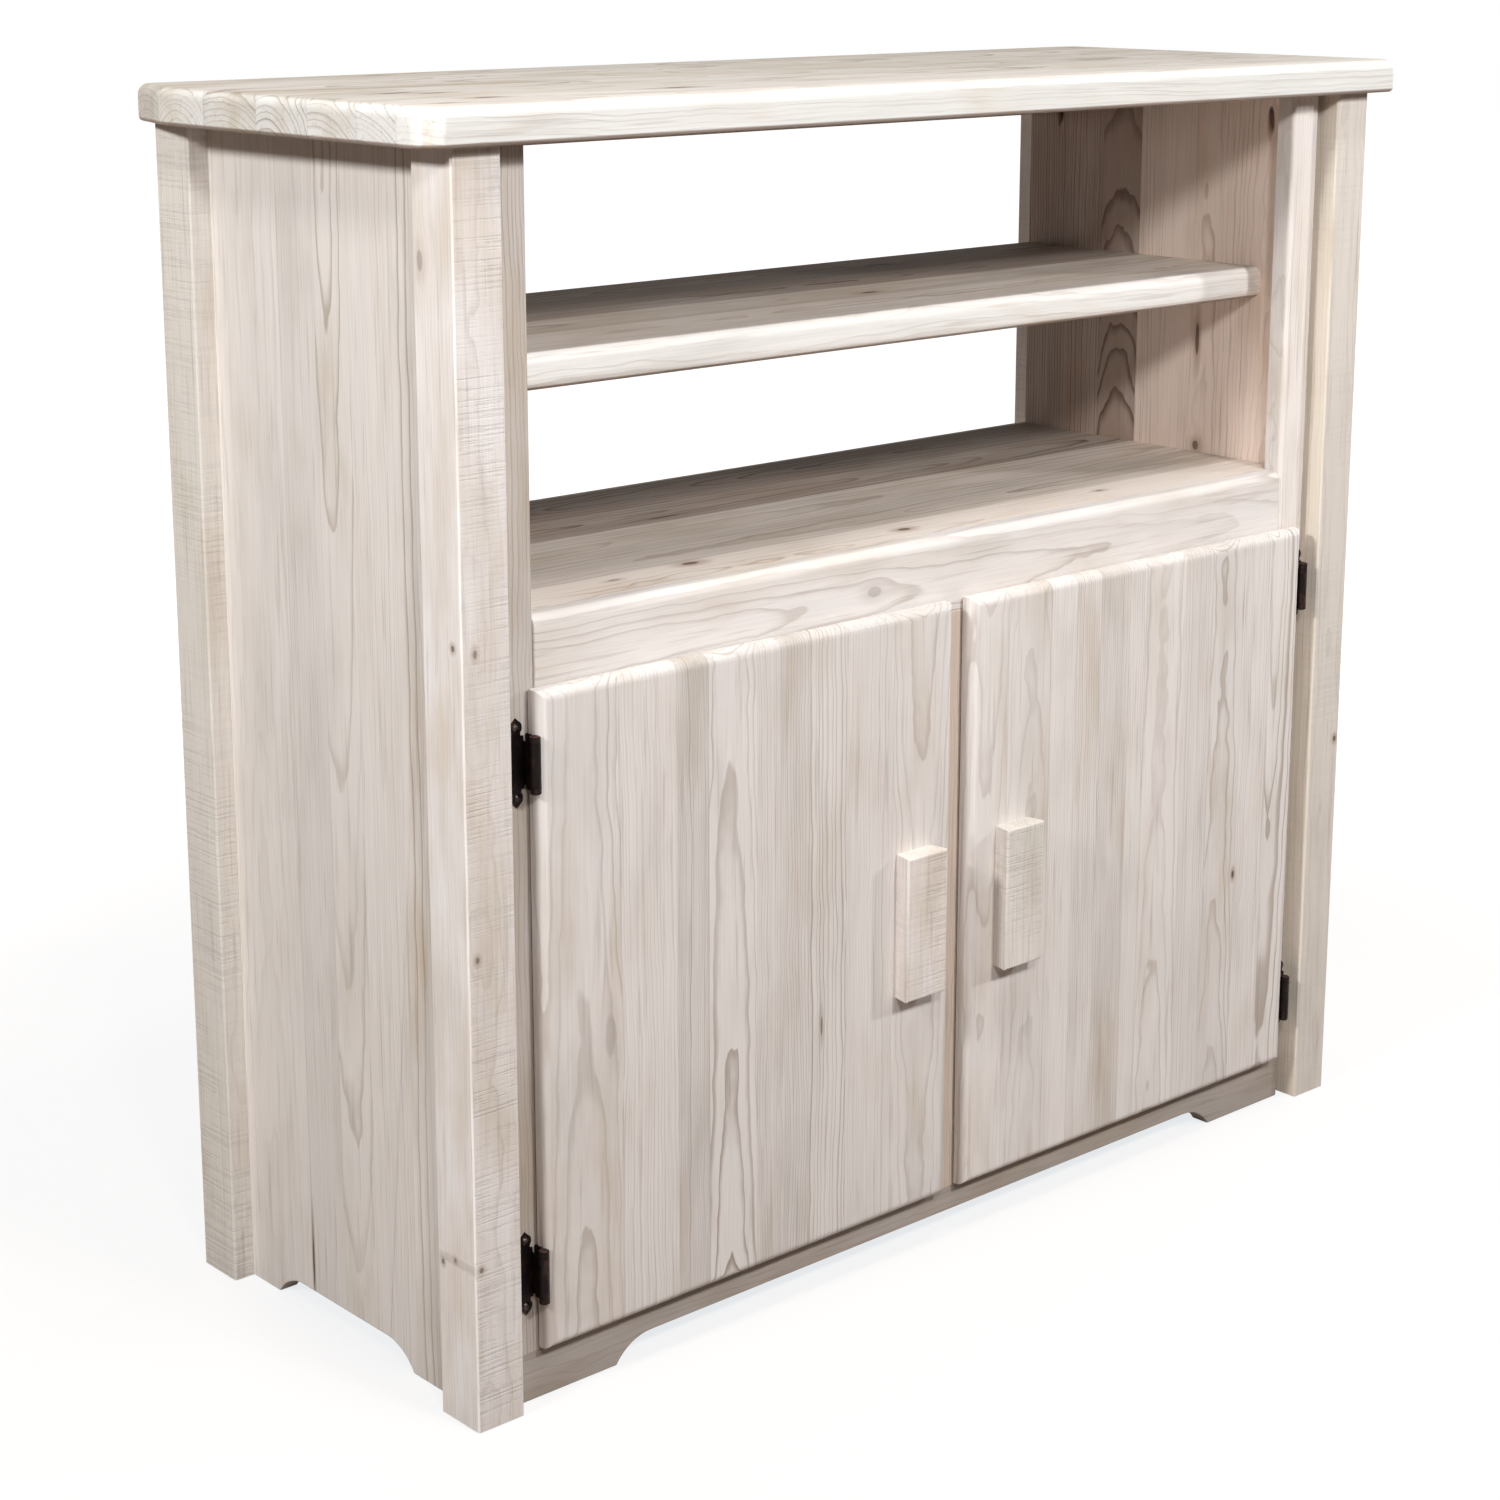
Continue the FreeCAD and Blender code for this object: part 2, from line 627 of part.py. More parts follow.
def back_screw_hole(x, height):
    """A hole for a back panel screw, through the panel and into what is before it."""
    depth = size.back_screw_long + size.end_play
    return rod(size.screw_radius + size.hole_play, depth, x, PANEL_REAR - depth, height, "Y")


def deck_screw_places():
    """X of each back panel screw in the deck's back edge."""
    return [turn * size.back_screw_spread for turn in (-1, 0, 1)]


def build_inner_walls():
    """The walls of the bay and the cupboard, with housings, dowel holes and screw pockets."""
    for side, sign in SIDES.items():
        wall = block(span(sign, WALL, INNER), (FRAME_BACK, REAR), (size.wall_low, size.post_tall))
        cuts = [
            housing(sign, (DECK_LOW, DECK_LOW + size.deck_tongue)),
            housing(sign, (size.bottom_rail_tall, FLOOR_TOP)),
        ]
        for y in POCKET_ROWS:
            cuts += [pocket_bore(sign, y), pocket_screw_bore(sign, y)]
        for y in SHELF_PEG_ROWS:
            cuts.append(side_rod(size.board_dowel_radius + size.hole_play, sign, WALL,
                                 WALL + size.board_dowel_half + size.end_play, y, SHELF_MIDDLE))
        for row_sign, height in back_screw_places():
            if row_sign == sign:
                cuts.append(back_screw_hole(sign * WALL_MIDDLE, height))
        keep("%s_inner_wall" % side, without(wall, cuts))


def build_deck():
    """The board over the cupboard, with a tongue along each end in the inner walls."""
    reach = WALL + size.housing_deep
    board = block((-WALL, WALL), (FRAME_BACK, REAR), (DECK_LOW, DECK_TOP))
    tongues = block((-reach, reach), (FRAME_BACK, REAR), (DECK_LOW, DECK_LOW + size.deck_tongue))
    holes = [back_screw_hole(x, DECK_SCREW_Z) for x in deck_screw_places()]
    keep("deck", without(fused([board, tongues]), holes))


def build_cupboard_floor():
    """The cupboard's floor, housed in the inner walls."""
    reach = WALL + size.housing_deep
    keep("cupboard_floor", block((-reach, reach), (FRAME_BACK, REAR), (size.bottom_rail_tall, FLOOR_TOP)))


def build_shelf():
    """The open bay's shelf with a rounded front, on dowels in the inner walls."""
    body = body_at("Shelf", 0, 0, SHELF_LOW)
    corners = rectangle((-WALL, WALL), (SHELF_FRONT, REAR))
    board = padded(body, outline(body, "XY_Plane", corners), size.shelf_thick)
    body_rounded(body, board, lambda box: runs(box, "X") and level(box, "Y", SHELF_FRONT), size.shelf_round)
    depth = size.board_dowel_half + size.end_play
    holes = [side_rod(size.board_dowel_radius + size.hole_play, sign, WALL - depth, WALL, y, SHELF_MIDDLE)
             for sign in SIDES.values() for y in SHELF_PEG_ROWS]
    keep("shelf", without(body, holes))


def build_outer_stiles():
    """The stiles beside the openings, tenoned into the bottom rail."""
    x_spans = {-1: (-INNER, OPEN_LEFT), 1: (OPEN_RIGHT, FRAME_RIGHT)}
    inner_edges = {-1: OPEN_LEFT, 1: OPEN_RIGHT}
    for side, sign in SIDES.items():
        x_span = x_spans[sign]
        edge = inner_edges[sign]
        stile = block(x_span, (FRAME_FRONT, FRAME_BACK), (size.bottom_rail_tall, size.post_tall))
        stile = rounded(stile, lambda box: runs(box, "Z") and level(box, "X", edge)
                        and level(box, "Y", FRAME_FRONT), size.stile_round)
        tenon = block(mortise_span(x_span[0], x_span[1], 0), tenon_rows(0),
                      (size.bottom_rail_tall - size.tenon_long, size.bottom_rail_tall))
        mortise_end = edge + sign * (size.tenon_long + size.end_play)
        mortise_ends = (edge, mortise_end) if sign > 0 else (mortise_end, edge)
        cuts = [block(mortise_ends, tenon_rows(size.wood_play),
                      mortise_span(RAIL_LOW, DECK_TOP, size.wood_play))]
        cuts += leaf_screw_holes(sign)
        keep("%s_stile" % side, without(fused([stile, tenon]), cuts))


def build_middle_stile():
    """The stile behind the meeting doors, tenoned into both rails."""
    x_span = (STILE_LEFT, STILE_RIGHT)
    stile = block(x_span, (FRAME_FRONT, FRAME_BACK), (size.bottom_rail_tall, RAIL_LOW))
    stile = rounded(stile, lambda box: runs(box, "Z") and level(box, "Y", FRAME_FRONT), size.stile_round)
    tenon = block(mortise_span(x_span[0], x_span[1], 0), tenon_rows(0),
                  (size.bottom_rail_tall - size.tenon_long, RAIL_LOW + size.tenon_long))
    keep("middle_stile", fused([stile, tenon]))


def build_middle_rail():
    """The rail in front of the deck, tenoned into the outer stiles."""
    rail = block((OPEN_LEFT, OPEN_RIGHT), (FRAME_FRONT, FRAME_BACK), (RAIL_LOW, DECK_TOP))
    rail = rounded(rail, lambda box: runs(box, "X") and level(box, "Y", FRAME_FRONT)
                   and level(box, "Z", DECK_TOP), size.rail_round)
    tenon = block((OPEN_LEFT - size.tenon_long, OPEN_RIGHT + size.tenon_long), tenon_rows(0),
                  mortise_span(RAIL_LOW, DECK_TOP, 0))
    mortise = block(mortise_span(STILE_LEFT, STILE_RIGHT, size.wood_play), tenon_rows(size.wood_play),
                    (RAIL_LOW, RAIL_LOW + size.tenon_long + size.end_play))
    keep("middle_rail", without(fused([rail, tenon]), [mortise]))


def build_bottom_rail():
    """The arched rail along the floor, with mortises for the three stiles."""
    ends = (-INNER, FRAME_RIGHT)
    y_span = (FRAME_FRONT, FRAME_BACK)
    rail = block(ends, y_span, (as_size(0), size.bottom_rail_tall))
    cuts = [floor_arch("X", (ends[0] + size.rail_foot, ends[1] - size.rail_foot), y_span)]
    for x_span in ((-INNER, OPEN_LEFT), (STILE_LEFT, STILE_RIGHT), (OPEN_RIGHT, FRAME_RIGHT)):
        cuts.append(block(mortise_span(x_span[0], x_span[1], size.wood_play), tenon_rows(size.wood_play),
                          (size.bottom_rail_tall - size.tenon_long - size.end_play, size.bottom_rail_tall)))
    keep("bottom_rail", without(rail, cuts))


def build_sills():
    """The strips that close the face frame in front of the cupboard's floor."""
    for side, sign in SIDES.items():
        keep("%s_sill" % side, block(OPENINGS[sign], (FRAME_FRONT, FRAME_BACK),
                                     (size.bottom_rail_tall, FLOOR_TOP)))


def build_cupboard_back():
    """The thin back of the cupboard, screwed to the inner walls and the deck."""
    panel = block((-INNER, INNER), (REAR, PANEL_REAR), (size.bottom_rail_tall, DECK_TOP))
    holes = [back_screw_hole(sign * WALL_MIDDLE, height) for sign, height in back_screw_places()]
    holes += [back_screw_hole(x, DECK_SCREW_Z) for x in deck_screw_places()]
    keep("cupboard_back", without(panel, holes))


def build_doors():
    """Two slab doors: a lip over the face frame and a part that enters the opening."""
    for side, sign in SIDES.items():
        ends = (-DOOR_OUT, DOOR_MEETS[sign]) if sign < 0 else (DOOR_MEETS[sign], DOOR_OUT)
        opening = OPENINGS[sign]
        body = body_at(side.capitalize() + "Door", 0, LIP_BACK, 0)
        lip = padded(body, outline(body, "XZ_Plane", rectangle(ends, (DOOR_LOW, DOOR_HIGH))),
                     size.lip_thick)
        inset = rectangle((opening[0] + size.inset_clear, opening[1] - size.inset_clear),
                          (FLOOR_TOP + size.inset_clear, RAIL_LOW - size.inset_clear))
        door = padded(body, outline(body, "XZ_Plane", inset), size.inset_thick, backwards=True)
        body_rounded(body, door, lambda box: level(box, "Y", -size.lip_thick), size.door_round)
        holes = [countersunk(sign, height, size.hole_play, size.end_play) for height in door_screw_heights()]
        for height in handle_screw_heights():
            holes.append(rod(size.handle_screw_radius + size.hole_play, INSET_BACK - DOOR_FRONT,
                             HANDLE_X[sign], DOOR_FRONT, height, "Y"))
        keep("%s_door" % side, without(body, holes))


def handle_screw_heights():
    """Heights of a handle's two screws."""
    return [HANDLE_Z + turn * size.handle_screw_gap / 2 for turn in (-1, 1)]


def build_handles():
    """Two block handles, narrower at the door, each on two screws from the door's back."""
    half = size.handle_wide / 2
    corners = [
        (-half, -size.handle_deep),
        (half, -size.handle_deep),
        (half - size.handle_taper, 0),
        (size.handle_taper - half, 0),
    ]
    bite = size.handle_screw_bite
    for side, sign in SIDES.items():
        body = body_at(side.capitalize() + "Handle", HANDLE_X[sign], DOOR_FRONT,
                       HANDLE_Z - size.handle_tall / 2)
        pad = padded(body, outline(body, "XY_Plane", corners), size.handle_tall)
        body_rounded(body, pad, lambda box: level(box, "Y", -size.handle_deep), size.handle_round)
        holes = [rod(size.handle_screw_radius + size.hole_play, bite + size.end_play, HANDLE_X[sign],
                     DOOR_FRONT - bite - size.end_play, height, "Y") for height in handle_screw_heights()]
        keep("%s_handle" % side, without(body, holes))
        screws = []
        for height in handle_screw_heights():
            shank = rod(size.handle_screw_radius, bite + INSET_BACK - DOOR_FRONT, HANDLE_X[sign],
                        DOOR_FRONT - bite, height, "Y")
            head = cap(size.handle_head_radius, size.handle_head_tall, HANDLE_X[sign], INSET_BACK, height,
                       AXIS_TURN["Y"])
            screws.append(fused([shank, head]))
        keep("%s_handle_screws" % side, group(screws))


def leaf_screw_heights():
    """Heights of the frame leaves' screws on one side."""
    return [middle + turn * size.leaf_screw_rise for middle in HINGE_HEIGHTS.values() for turn in (-1, 1)]


def door_screw_heights():
    """Heights of the door leaves' screws on one side."""
    return [middle + turn * size.door_screw_rise for middle in HINGE_HEIGHTS.values() for turn in (-1, 1)]


def leaf_screw_holes(sign):
    """Holes in a stile for its two frame leaves' screws."""
    depth = size.leaf_screw_long - size.leaf_thick + size.end_play
    return [rod(size.screw_radius + size.hole_play, depth, sign * LEAF_X, FRAME_FRONT, height, "Y")
            for height in leaf_screw_heights()]


def countersunk(sign, height, play, room):
    """A countersunk screw of a door leaf, or with play round it and room past its end, its hole."""
    face = LIP_BACK + size.leaf_thick
    depth = size.door_screw_long + room
    shank = rod(size.screw_radius + play, depth, sign * DOOR_SCREW_X, face - depth, height, "Y")
    head = doc.addObject("Part::Cone", "Head")
    bind(head, Radius1=size.screw_radius + play, Radius2=size.screw_head_radius + play,
         Height=size.screw_head_tall)
    head.Placement.Rotation = AXIS_TURN["Y"]
    place(head, sign * DOOR_SCREW_X, face - size.screw_head_tall, height)
    return fused([shank, head])


def build_frame_leaf(name, sign, middle):
    """A hinge's leaf on the stile, with its knuckle, link plate and pointed ends."""
    y_span = (FRAME_FRONT - size.leaf_thick, FRAME_FRONT)
    half_waist = size.leaf_waist_tall / 2
    pieces = [
        block(span(sign, LEAF_IN, LEAF_OUT), y_span, (middle - half_waist, middle + half_waist)),
        block(span(sign, LEAF_X - size.neck_wide / 2, LEAF_X + size.neck_wide / 2), y_span,
              (middle - size.leaf_screw_rise, middle + size.leaf_screw_rise)),
        block(span(sign, LEAF_IN, LEAF_IN + size.leaf_thick), (PIN_Y, FRAME_FRONT),
              (middle - MIDDLE_HALF, middle + MIDDLE_HALF)),
        rod(size.knuckle_radius, size.middle_knuckle_tall, sign * PIN_X, PIN_Y, middle - MIDDLE_HALF),
    ]
    for turn in (-1, 1):
        pieces.append(rod(size.lobe_radius, size.leaf_thick, sign * LEAF_X, y_span[0],
                          middle + turn * size.leaf_screw_rise, "Y"))
        tip = doc.addObject("Part::Box", "Tip")
        bind(tip, Length=size.tip_side, Width=size.leaf_thick, Height=size.tip_side)
        tip.Placement.Rotation = FreeCAD.Rotation(FreeCAD.Vector(0, 1, 0), 45)
        place(tip, sign * LEAF_X - size.tip_side * sine(as_size(45)), y_span[0],
              middle + turn * size.tip_rise)
        pieces.append(tip)
    cuts = [rod(size.pin_radius + size.hole_play, size.middle_knuckle_tall, sign * PIN_X, PIN_Y,
                middle - MIDDLE_HALF)]
    for turn in (-1, 1):
        cuts.append(rod(size.screw_radius + size.hole_play, size.leaf_thick, sign * LEAF_X, y_span[0],
                        middle + turn * size.leaf_screw_rise, "Y"))
    keep(name, without(fused(pieces), cuts))


def build_door_leaf(name, sign, middle):
    """A hinge's leaf on the door: two knuckles, a strip along the edge and one behind the lip."""
    z_span = (middle - BARREL_HALF, middle + BARREL_HALF)
    outer = DOOR_OUT + size.door_leaf_play + size.leaf_thick
    back = LIP_BACK + size.leaf_thick
    pieces = [
        block(span(sign, outer - size.leaf_thick, outer), (PIN_Y, back), z_span),
        block(span(sign, DOOR_OUT - size.door_leaf_reach, outer), (LIP_BACK, back), z_span),
    ]
    ends = (middle - BARREL_HALF, middle + BARREL_HALF - size.end_knuckle_tall)
    for end in ends:
        pieces.append(rod(size.knuckle_radius, size.end_knuckle_tall, sign * PIN_X, PIN_Y, end))
    gap_tall = size.middle_knuckle_tall + 2 * size.knuckle_gap
    cuts = [
        rod(size.knuckle_radius + size.barrel_clear, gap_tall, sign * PIN_X, PIN_Y,
            middle - gap_tall / 2),
        rod(size.pin_radius + size.pin_play, 2 * BARREL_HALF, sign * PIN_X, PIN_Y, z_span[0]),
    ]
    cuts += [countersunk(sign, middle + turn * size.door_screw_rise, size.hole_play, size.end_play)
             for turn in (-1, 1)]
    keep(name, without(fused(pieces), cuts))


def build_pin(name, sign, middle):
    """A hinge's pin with a rounded head at each end."""
    half = BARREL_HALF + size.knuckle_gap
    x = sign * PIN_X
    shank = rod(size.pin_radius, 2 * half, x, PIN_Y, middle - half)
    upper = cap(size.pin_head_radius, size.pin_head_tall, x, PIN_Y, middle + half, AXIS_TURN["Z"])
    lower = cap(size.pin_head_radius, size.pin_head_tall, x, PIN_Y, middle - half,
                FreeCAD.Rotation(FreeCAD.Vector(1, 0, 0), 180))
    keep(name, fused([shank, upper, lower]))


def build_hinges():
    """Four face-mounted hinges, mirror images on the two sides, with their screws."""
    for side, sign in SIDES.items():
        for row, middle in HINGE_HEIGHTS.items():
            build_frame_leaf("%s_%s_frame_leaf" % (side, row), sign, middle)
            build_door_leaf("%s_%s_door_leaf" % (side, row), sign, middle)
            build_pin("%s_%s_pin" % (side, row), sign, middle)
        keep("%s_door_leaf_screws" % side,
             group([countersunk(sign, height, 0, 0) for height in door_screw_heights()]))
        screws = []
        for height in leaf_screw_heights():
            face = FRAME_FRONT - size.leaf_thick
            shank = rod(size.screw_radius, size.leaf_screw_long, sign * LEAF_X, face, height, "Y")
            head = cap(size.screw_head_radius, size.screw_head_tall, sign * LEAF_X, face, height,
                       FreeCAD.Rotation(FreeCAD.Vector(1, 0, 0), 90))
            screws.append(fused([shank, head]))
        keep("%s_frame_leaf_screws" % side, group(screws))


def build_post_dowels():
    """A dowel from each post into the top board."""
    dowels = [rod(size.post_dowel_radius, 2 * size.post_dowel_half, sign * POST_X, middle,
                  size.post_tall - size.post_dowel_half)
              for side, sign, row, y_span, middle in post_places()]
    keep("post_dowels", group(dowels))


def build_back_rail_dowels():
    """Dowels from the back rails into the back posts."""
    half = size.board_dowel_half
    dowels = [side_rod(size.board_dowel_radius, sign, INNER - half, INNER + half, y, height)
              for sign in SIDES.values() for rail, y, height in back_rail_dowel_places()]
    keep("back_rail_dowels", group(dowels))


def build_shelf_dowels():
    """Dowels that carry the shelf in the inner walls."""
    half = size.board_dowel_half
    dowels = [side_rod(size.board_dowel_radius, sign, WALL - half, WALL + half, y, SHELF_MIDDLE)
              for sign in SIDES.values() for y in SHELF_PEG_ROWS]
    keep("shelf_dowels", group(dowels))


def build_pocket_screws():
    """Screws from the inner walls' pockets up into the top board."""
    screws = []
    for sign in SIDES.values():
        for y in POCKET_ROWS:
            shank = leaning_rod(size.pocket_screw_radius, size.pocket_screw_long, sign, size.pocket_deep, y)
            head = leaning_rod(size.pocket_head_radius, size.pocket_head_tall, sign,
                               size.pocket_deep - size.pocket_head_tall, y)
            screws.append(fused([shank, head]))
    keep("pocket_screws", group(screws))


def build_back_screws():
    """Round-headed screws of the cupboard's back."""
    places = [(sign * WALL_MIDDLE, height) for sign, height in back_screw_places()]
    places += [(x, DECK_SCREW_Z) for x in deck_screw_places()]
    screws = []
    for x, height in places:
        shank = rod(size.screw_radius, size.back_screw_long, x, PANEL_REAR - size.back_screw_long,
                    height, "Y")
        head = cap(size.screw_head_radius, size.screw_head_tall, x, PANEL_REAR, height, AXIS_TURN["Y"])
        screws.append(fused([shank, head]))
    keep("cupboard_back_screws", group(screws))


def check_and_write():
    """Stop at a failed object or a broken shape, and write each sub-part."""
    doc.recompute()
    for item in doc.Objects:
        if "Invalid" in item.State or "Error" in item.State:
            raise RuntimeError("%s did not compute" % item.Label)
    for item in subparts:
        shape = item.Shape
        if shape.isNull() or not shape.isValid() or not shape.Solids:
            raise RuntimeError("%s has no sound solid" % item.Label)
    os.makedirs("parts", exist_ok=True)
    for item in subparts:
        item.Shape.exportStep("parts/%s.step" % item.Label)


build_top_board()
build_posts()
build_back_rails()
build_side_panels()
build_inner_walls()
build_deck()
build_cupboard_floor()
build_shelf()
build_outer_stiles()
build_middle_stile()
build_middle_rail()
build_bottom_rail()
build_sills()
build_cupboard_back()
build_doors()
build_handles()
build_hinges()
build_post_dowels()
build_back_rail_dowels()
build_shelf_dowels()
build_pocket_screws()
build_back_screws()
check_and_write()
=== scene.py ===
import math
import random
from collections import namedtuple

import bpy
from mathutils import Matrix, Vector


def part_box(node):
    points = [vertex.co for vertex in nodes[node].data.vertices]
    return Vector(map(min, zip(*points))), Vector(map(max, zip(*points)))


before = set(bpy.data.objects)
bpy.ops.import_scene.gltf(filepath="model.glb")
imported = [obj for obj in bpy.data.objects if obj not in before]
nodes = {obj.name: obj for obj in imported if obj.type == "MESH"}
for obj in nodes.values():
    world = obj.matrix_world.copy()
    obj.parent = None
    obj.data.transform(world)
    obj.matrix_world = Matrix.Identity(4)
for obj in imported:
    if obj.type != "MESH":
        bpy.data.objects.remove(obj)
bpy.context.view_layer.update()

MM = 0.001


def srgb(red, green, blue):
    """A colour written as a screen shows it, 0 to 255, in the linear values that a shader takes."""
    levels = [part / 255 for part in (red, green, blue)]
    linear = [s / 12.92 if s <= 0.04045 else ((s + 0.055) / 1.055) ** 2.4 for s in levels]
    return (*linear, 1.0)


# The pine's colours.
CREAM = srgb(242, 236, 231)
TAN = srgb(214, 198, 178)
GREY = srgb(215, 210, 201)
LATE_WOOD = srgb(150, 129, 110)
# The red tan and red late wood serve the back staves of the shelf, deck and right inner wall: partly
# the wall's reddish grain, partly painted shade.
RED_TAN_AND_PAINTED_SHADE = srgb(192, 164, 148)
RED_LATE_WOOD_AND_PAINTED_SHADE = srgb(96, 68, 54)
KNOT_HEART = srgb(84, 60, 46)
KNOT_RING = srgb(150, 122, 96)
PLAIN_CREAM = srgb(232, 222, 206)


class Wire:
    """A number that flows through a node tree. Arithmetic on it adds Math nodes."""

    def __init__(self, graph, socket):
        self.graph = graph
        self.socket = socket

    def __add__(self, other):
        return self.graph.math("ADD", self, other)

    def __sub__(self, other):
        return self.graph.math("SUBTRACT", self, other)

    def __rsub__(self, other):
        return self.graph.math("SUBTRACT", other, self)

    def __mul__(self, other):
        return self.graph.math("MULTIPLY", self, other)

    def __truediv__(self, other):
        return self.graph.math("DIVIDE", self, other)


class Graph:
    """A node tree, with a short call for each kind of node that the materials need."""

    def __init__(self, tree):
        self.tree = tree

    def node(self, kind, **settings):
        """A new node with its settings made."""
        made = self.tree.nodes.new(kind)
        for name, value in settings.items():
            setattr(made, name, value)
        return made

    def plug(self, socket, value):
        """Links a wire to a socket, or sets the socket to a plain value."""
        if isinstance(value, Wire):
            self.tree.links.new(value.socket, socket)
        else:
            socket.default_value = value

    def math(self, operation, *values):
        made = self.node("ShaderNodeMath", operation=operation)
        for socket, value in zip(made.inputs, values):
            self.plug(socket, value)
        return Wire(self, made.outputs[0])

    def vector(self, operation, *values):
        made = self.node("ShaderNodeVectorMath", operation=operation)
        for socket, value in zip(made.inputs, values):
            self.plug(socket, value)
        answer = "Value" if operation == "LENGTH" else "Vector"
        return Wire(self, made.outputs[answer])

    def joined(self, x, y, z):
        made = self.node("ShaderNodeCombineXYZ")
        for socket, value in zip(made.inputs, (x, y, z)):
            self.plug(socket, value)
        return Wire(self, made.outputs[0])

    def parts(self, vector):
        made = self.node("ShaderNodeSeparateXYZ")
        self.plug(made.inputs[0], vector)
        return [Wire(self, socket) for socket in made.outputs]

    def ease(self, value, start, end, low=0.0, high=1.0):
        """Goes smoothly from low to high while value goes from start to end."""
        made = self.node("ShaderNodeMapRange", interpolation_type="SMOOTHSTEP")
        for name, number in (("From Min", start), ("From Max", end), ("To Min", low), ("To Max", high)):
            made.inputs[name].default_value = number
        self.plug(made.inputs["Value"], value)
        return Wire(self, made.outputs["Result"])

    def noise(self, place, scales, seed, detail=1.0, colour=False):
        """Noise from 0 to 1, stretched by a scale on each axis, in waves per metre."""
        stretched = self.vector("MULTIPLY", place, scales)
        shift = self.joined(seed * 7.31, seed * 3.17, seed * 5.71)
        moved = self.vector("ADD", stretched, shift)
        made = self.node("ShaderNodeTexNoise")
        made.inputs["Scale"].default_value = 1.0
        made.inputs["Detail"].default_value = detail
        self.plug(made.inputs["Vector"], moved)
        return Wire(self, made.outputs["Color" if colour else "Fac"])

    def chance(self, value):
        """A number from 0 to 1 that jumps with each different value."""
        made = self.node("ShaderNodeTexWhiteNoise", noise_dimensions="1D")
        self.plug(made.inputs["W"], value)
        return Wire(self, made.outputs["Value"])

    def blend(self, share, first, second, kind="MIX"):
        """The first colour, with a share of the second mixed in."""
        made = self.node("ShaderNodeMix", data_type="RGBA", blend_type=kind)
        self.plug(made.inputs["Factor"], share)
        self.plug(made.inputs[6], first)
        self.plug(made.inputs[7], second)
        return Wire(self, made.outputs[2])

    def steps(self, value, marks):
        """A colour that is constant between marks: rows of place and three numbers from 0 to 1."""
        made = self.node("ShaderNodeValToRGB")
        ramp = made.color_ramp
        ramp.interpolation = "CONSTANT"
        while len(ramp.elements) < len(marks):
            ramp.elements.new(1.0)
        while len(ramp.elements) > len(marks):
            ramp.elements.remove(ramp.elements[-1])
        for element, (place, numbers) in zip(ramp.elements, marks):
            element.position = place
            element.color = (*numbers, 1.0)
        self.plug(made.inputs["Fac"], value)
        return Wire(self, made.outputs["Color"])


# A stave is one strip of a glued board. end: its far edge across the board. pith: where the log's
# centre was, across the board. deep: how far that centre lay under the face. climb: how fast the
# log tapers along the board, in mm per m. ring: the width of a year. ink: how dark the late wood is.
# tone: lighter above 0. warm: browner above 0, and red near 1.
Stave = namedtuple("Stave", "end pith deep climb ring ink tone warm")

# A knot: its place across and along the board, its radius, how many times as long as wide it is, and
# how dark. One that shows on a narrow side has its depth under the wide face as its place across.
Knot = namedtuple("Knot", "across along radius long dark side", defaults=(False,))

# Painted light or shade on one face: which part of the board's place it goes by, where the face
# lies, how far it reaches from it, and how much of red, green and blue the wood keeps there. end is
# where it stops across the board, if it does.
Tint = namedtuple("Tint", "part place reach wash end", defaults=(None,))
ACROSS, DEPTH, ALONG = 0, 1, 2
FULL_PAINTED_LIGHT = 0.6  # a tint is full up to this share of its reach

REACH = 0.7  # a stave's edge and pith lie between minus and plus this
DEPTHS = 0.2  # its pith's depth likewise
CLIMBS = 0.1  # its taper likewise
RINGS = 0.02  # its ring width lies between 0 and this


def shares(value, reach):
    """A value between minus and plus reach as a number from 0 to 1."""
    return (value + reach) / (2 * reach)


def read_staves(graph, across, start, staves):
    """Looks up, for each point of a board, the numbers of the stave that it lies in."""
    end = staves[-1].end * MM
    share = (across - start) / (end - start)
    edges, depths, looks = [], [], []
    left = start
    for stave in staves:
        place = (left - start) / (end - start)
        edges.append((place, (shares(left, REACH), shares(stave.end * MM, REACH),
                              shares(stave.pith * MM, REACH))))
        depths.append((place, (shares(stave.deep * MM, DEPTHS), shares(stave.climb * MM, CLIMBS),
                               stave.ring * MM / RINGS)))
        looks.append((place, (stave.ink, shares(stave.tone, 1), shares(stave.warm, 1))))
        left = stave.end * MM
    low, high, pith = graph.parts(graph.steps(share, edges))
    deep, climb, ring = graph.parts(graph.steps(share, depths))
    ink, tone, warm = graph.parts(graph.steps(share, looks))
    return {
        "low": low * (2 * REACH) - REACH,
        "high": high * (2 * REACH) - REACH,
        "pith": pith * (2 * REACH) - REACH,
        "deep": deep * (2 * DEPTHS) - DEPTHS,
        "climb": climb * (2 * CLIMBS) - CLIMBS,
        "ring": ring * RINGS,
        "ink": ink,
        "tone": tone * 2 - 1,
        "warm": warm * 2 - 1,
    }


def new_group(name, inputs, outputs):
    """An empty node group, its graph, and a wire for each of its inputs."""
    tree = bpy.data.node_groups.new(name, "ShaderNodeTree")
    kinds = {"number": "NodeSocketFloat", "vector": "NodeSocketVector"}
    for title, kind in inputs.items():
        tree.interface.new_socket(title, in_out="INPUT", socket_type=kinds[kind])
    for title, kind in outputs.items():
        tree.interface.new_socket(title, in_out="OUTPUT", socket_type=kinds[kind])
    graph = Graph(tree)
    entry = graph.node("NodeGroupInput")
    wires = {title: Wire(graph, entry.outputs[title]) for title in inputs}
    return tree, graph, wires


def close_group(graph, answers):
    """Gives a group its outputs."""
    leave = graph.node("NodeGroupOutput")
    for title, value in answers.items():
        graph.plug(leave.inputs[title], value)


def use_group(graph, tree, values):
    """Puts a group into a graph, and gives its outputs by name."""
    made = graph.node("ShaderNodeGroup", node_tree=tree)
    for title, value in values.items():
        graph.plug(made.inputs[title], value)
    return {socket.name: Wire(graph, socket) for socket in made.outputs}


